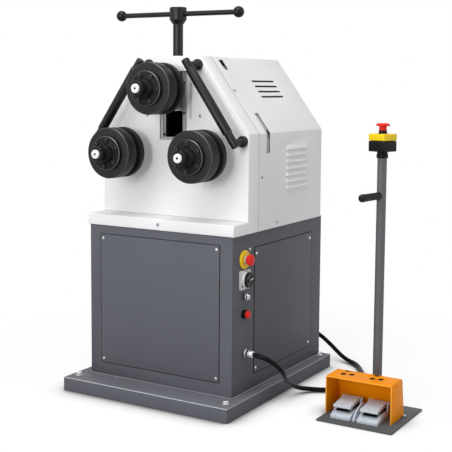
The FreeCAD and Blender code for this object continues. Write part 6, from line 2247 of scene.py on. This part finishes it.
@dataclass
class PedalStation:
    """Plate, column head, guard, treadles and their cast base."""

    x: float = 626.0
    y: float = 20.0
    turn: float = -17.0
    socket_foot: float = 777.0
    socket: float = 17.8
    box_foot: float = 797.0
    box: float = 62.0
    base_height: float = 33.0
    cover_height: float = 21.0
    corner: float = 3.5
    collar: float = 13.6
    guard_holes: tuple[tuple[float, float], ...] = ((-19.0, -86.0), (-18.0, -54.0), (6.0, -81.0))
    hole_middles: tuple[float, float] = (578.0, 672.0)
    treadle_middles: tuple[float, float] = (582.0, 668.0)
    hole_radius: float = 9.0
    guard_top: float = 122.0
    guard_front: float = -127.0
    shade_pad_half: float = 22.0
    shade_pad_ends: tuple[float, float] = (-141.0, -76.0)
    shade_foot: float = 26.8
    shade_pad_top: float = 27.3
    shade_flap_half: float = 26.5
    shade_flap_ends: tuple[float, float] = (-78.5, -76.5)
    shade_flap_top: float = 38.0
    nut_place: Place = (736.0, -34.0, 5.0)
    nut: float = 6.5
    nut_height: float = 6.0

    def build(self) -> None:
        """Builds and dresses the station."""
        self.head()
        self.guard()
        self.hole_shades()
        for side in ("left", "right"):
            treadle = eased(
                f"{side}_pedal", f"{side}_treadle", 1.1, CAST_ALLOY, "cast_aluminium",
                f"{side}_foot_pedal", 25.0,
            )
            # The treadles' undersides are painted black as the shade under them.
            rub(treadle, JOINT_AND_SHADE_BLACK, lambda face: face.normal.z < -0.6)
        self.treadle_shades()
        eased("pedal_base", "treadle_base", 0.8, CAST_ALLOY, "cast_aluminium")
        eased("station_plate", "floor_plate", 0.9, STATION_GREY, "dark_paint")
        self.plate_nut()

    def treadle_shades(self) -> None:
        """Painted shadow under the treadles, as dark blocks: a pad on the base and an upright strip before
        the hinge.
        """
        pieces = []
        for middle in self.treadle_middles:
            for name, half, ends, top, corner, axis in (
                ("mat", self.shade_pad_half, self.shade_pad_ends, self.shade_pad_top, 1.0, Axis.Z),
                ("flap", self.shade_flap_half, self.shade_flap_ends, self.shade_flap_top, 0.8, Axis.X),
            ):
                low = (middle - half, ends[0], self.shade_foot)
                pieces.append(Bench.block(name, low, (middle + half, ends[1], top), corner, axis))
        finish_piece(Bench.joined("treadle_mats", pieces), JOINT_AND_SHADE_BLACK, "machine", "cast_aluminium")

    def boxed(self, name: str, half: float, low: float, high: float, edge: float) -> bpy.types.Object:
        """A rounded square block on the column, turned with the head.

        Args:
            name: The piece's name.
            half: Half its width.
            low: Its underside.
            high: Its top.
            edge: The width of its softened edges.

        Returns:
            The piece.
        """
        piece = Bench.block(name, (-half, -half, low), (half, half, high), self.corner, Axis.Z)
        Bench.soften(piece, edge, 3)
        piece.data.transform(stood((self.x, self.y, 0.0), self.turn))
        return piece

    def head(self) -> None:
        """The stop box: socket, black base, yellow cover, collar and red mushroom."""
        half, cover = self.box / 2, self.box_foot + self.base_height
        top, axis = cover + self.cover_height, (self.x, self.y, 0.0)
        wide, neck, ring = self.socket, self.socket - 1.6, self.collar
        foot, seat = self.socket_foot, self.box_foot + 1.0
        profile = [
            (0.0, foot), (wide - 0.6, foot), (wide, foot + 1.5), (wide, foot + 11.0),
            (neck, foot + 12.0), (neck, seat), (0.0, seat),
        ]
        socket = Bench.turn("box_socket", Axis.Z, axis, profile, 48)
        Bench.soften(socket, 0.5)
        base = self.boxed("box_base", half - 0.3, self.box_foot, cover - 0.7, 1.2)
        profile = [
            (0.0, top - 1.0), (ring, top - 1.0), (ring, top + 2.0), (ring - 1.0, top + 3.0),
            (ring - 1.2, top + 10.0), (0.0, top + 10.0),
        ]
        collar = Bench.turn("stop_collar", Axis.Z, axis, profile, 40)
        Bench.soften(collar, 0.4)
        body = Bench.joined("stop_box_base", [base, socket, collar])
        finish_piece(body, BLACK_PLASTIC, "machine", "yellow_plastic")
        lid = self.boxed("stop_box_cover", half, cover, top, 1.3)
        finish_piece(lid, YELLOW_PLASTIC, "machine", "yellow_plastic", "estop_box")
        eased("station_mushroom", "column_mushroom", 0.8, RED_PLASTIC, "red_plastic", "station_stop", 25.0)

    def guard(self) -> None:
        """The orange guard with its sheet edges softened and a painted highlight on its front edges."""
        guard = eased("pedal_guard", "treadle_guard", 0.7, GUARD_ORANGE, "orange_paint", angle=50.0)
        edge = (self.guard_front + 1.5) * MM
        rub(guard, ORANGE_EDGE, lambda face: face.normal.y < -0.3 and face.center.y < edge)

    def hole_shades(self) -> None:
        """Painted shade in the guard's round holes: a dark cup lining each, with a thin rim."""
        hole = self.hole_radius
        profile = [
            (0.0, -1.0), (hole - 0.1, -1.0), (hole - 0.1, 1.0), (hole + 0.9, 1.0), (hole + 0.9, 1.5),
            (hole - 1.4, 1.6), (hole - 2.0, 0.6), (0.0, 0.6),
        ]
        plug = Bench.turn("plug", Axis.Z, ORIGIN, profile, 32)
        Bench.soften(plug, 0.2)
        places = [
            stood((middle + across, along, self.guard_top - 1.0))
            for middle in self.hole_middles
            for across, along in self.guard_holes
        ]
        hole_shades = Bench.joined("guard_plugs", Bench.copies(plug, places))
        finish_piece(hole_shades, JOINT_AND_SHADE_BLACK, "machine", "orange_paint")

    def plate_nut(self) -> None:
        """The nut that holds the guard's foot, at the plate's right."""
        foot = self.nut_place[2]
        nut = Bench.prism("plate_nut", 6, self.nut, foot, foot + self.nut_height, self.nut_place)
        Bench.soften(nut, 0.8, 3)
        finish_piece(nut, DULL_PLATE, "machine", "dark_paint")


# ---------------------------------------------------------------- plain nodes


def coat_all() -> None:
    """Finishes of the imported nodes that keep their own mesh."""
    coat_nodes(FRAME_SHADED_WHITE, "bed_plate", "head_frame", "screw_bridge")
    coat_nodes(BRONZE, "spindle_nut")
    coat_nodes(BEARING_STEEL, "lower_bearings", "top_bearings")
    coat_nodes(GROUND_STEEL, "slide_block", "keeper_plate", "left_gear", "right_gear", "drive_pinion")
    coat_nodes(HANDLE_BLACK, "spindle", "tee_bar")
    coat_nodes(HOUSING_CAST, "gearbox")
    coat_nodes(MOTOR_PAINT, "motor")
    coat_nodes(GLOSS_BLACK, "tee_knobs", "station_grip")
    coat_nodes(COLUMN_GREY, "station_column")


ROLLS = (
    Roll("top", 0.0, 982.0, screw_turn=-4.0),
    Roll("left", -151.987, 779.0, screw_turn=23.0),
    Roll("right", 151.987, 779.0, screw_turn=28.0),
)


def main() -> None:
    """Builds the studio and every sub-assembly, in order."""
    logging.basicConfig(level=logging.INFO, format="%(message)s")
    for leftover in list(bpy.data.objects):
        bpy.data.objects.remove(leftover)
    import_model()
    coat_all()
    Studio().build()
    bars = (GrabBar("left", -1.0), GrabBar("right", 1.0))
    for assembly in (
        SIDE_CABLE, REAR_CABLE, *ROLLS, TeeHandle(), Head(), *bars, Hood(), Cabinet(),
        SideControls(), Glands(), PedalStation(),
    ):
        assembly.build()
        LOG.info("%s done", type(assembly).__name__)


if __name__ == "__main__":
    main()
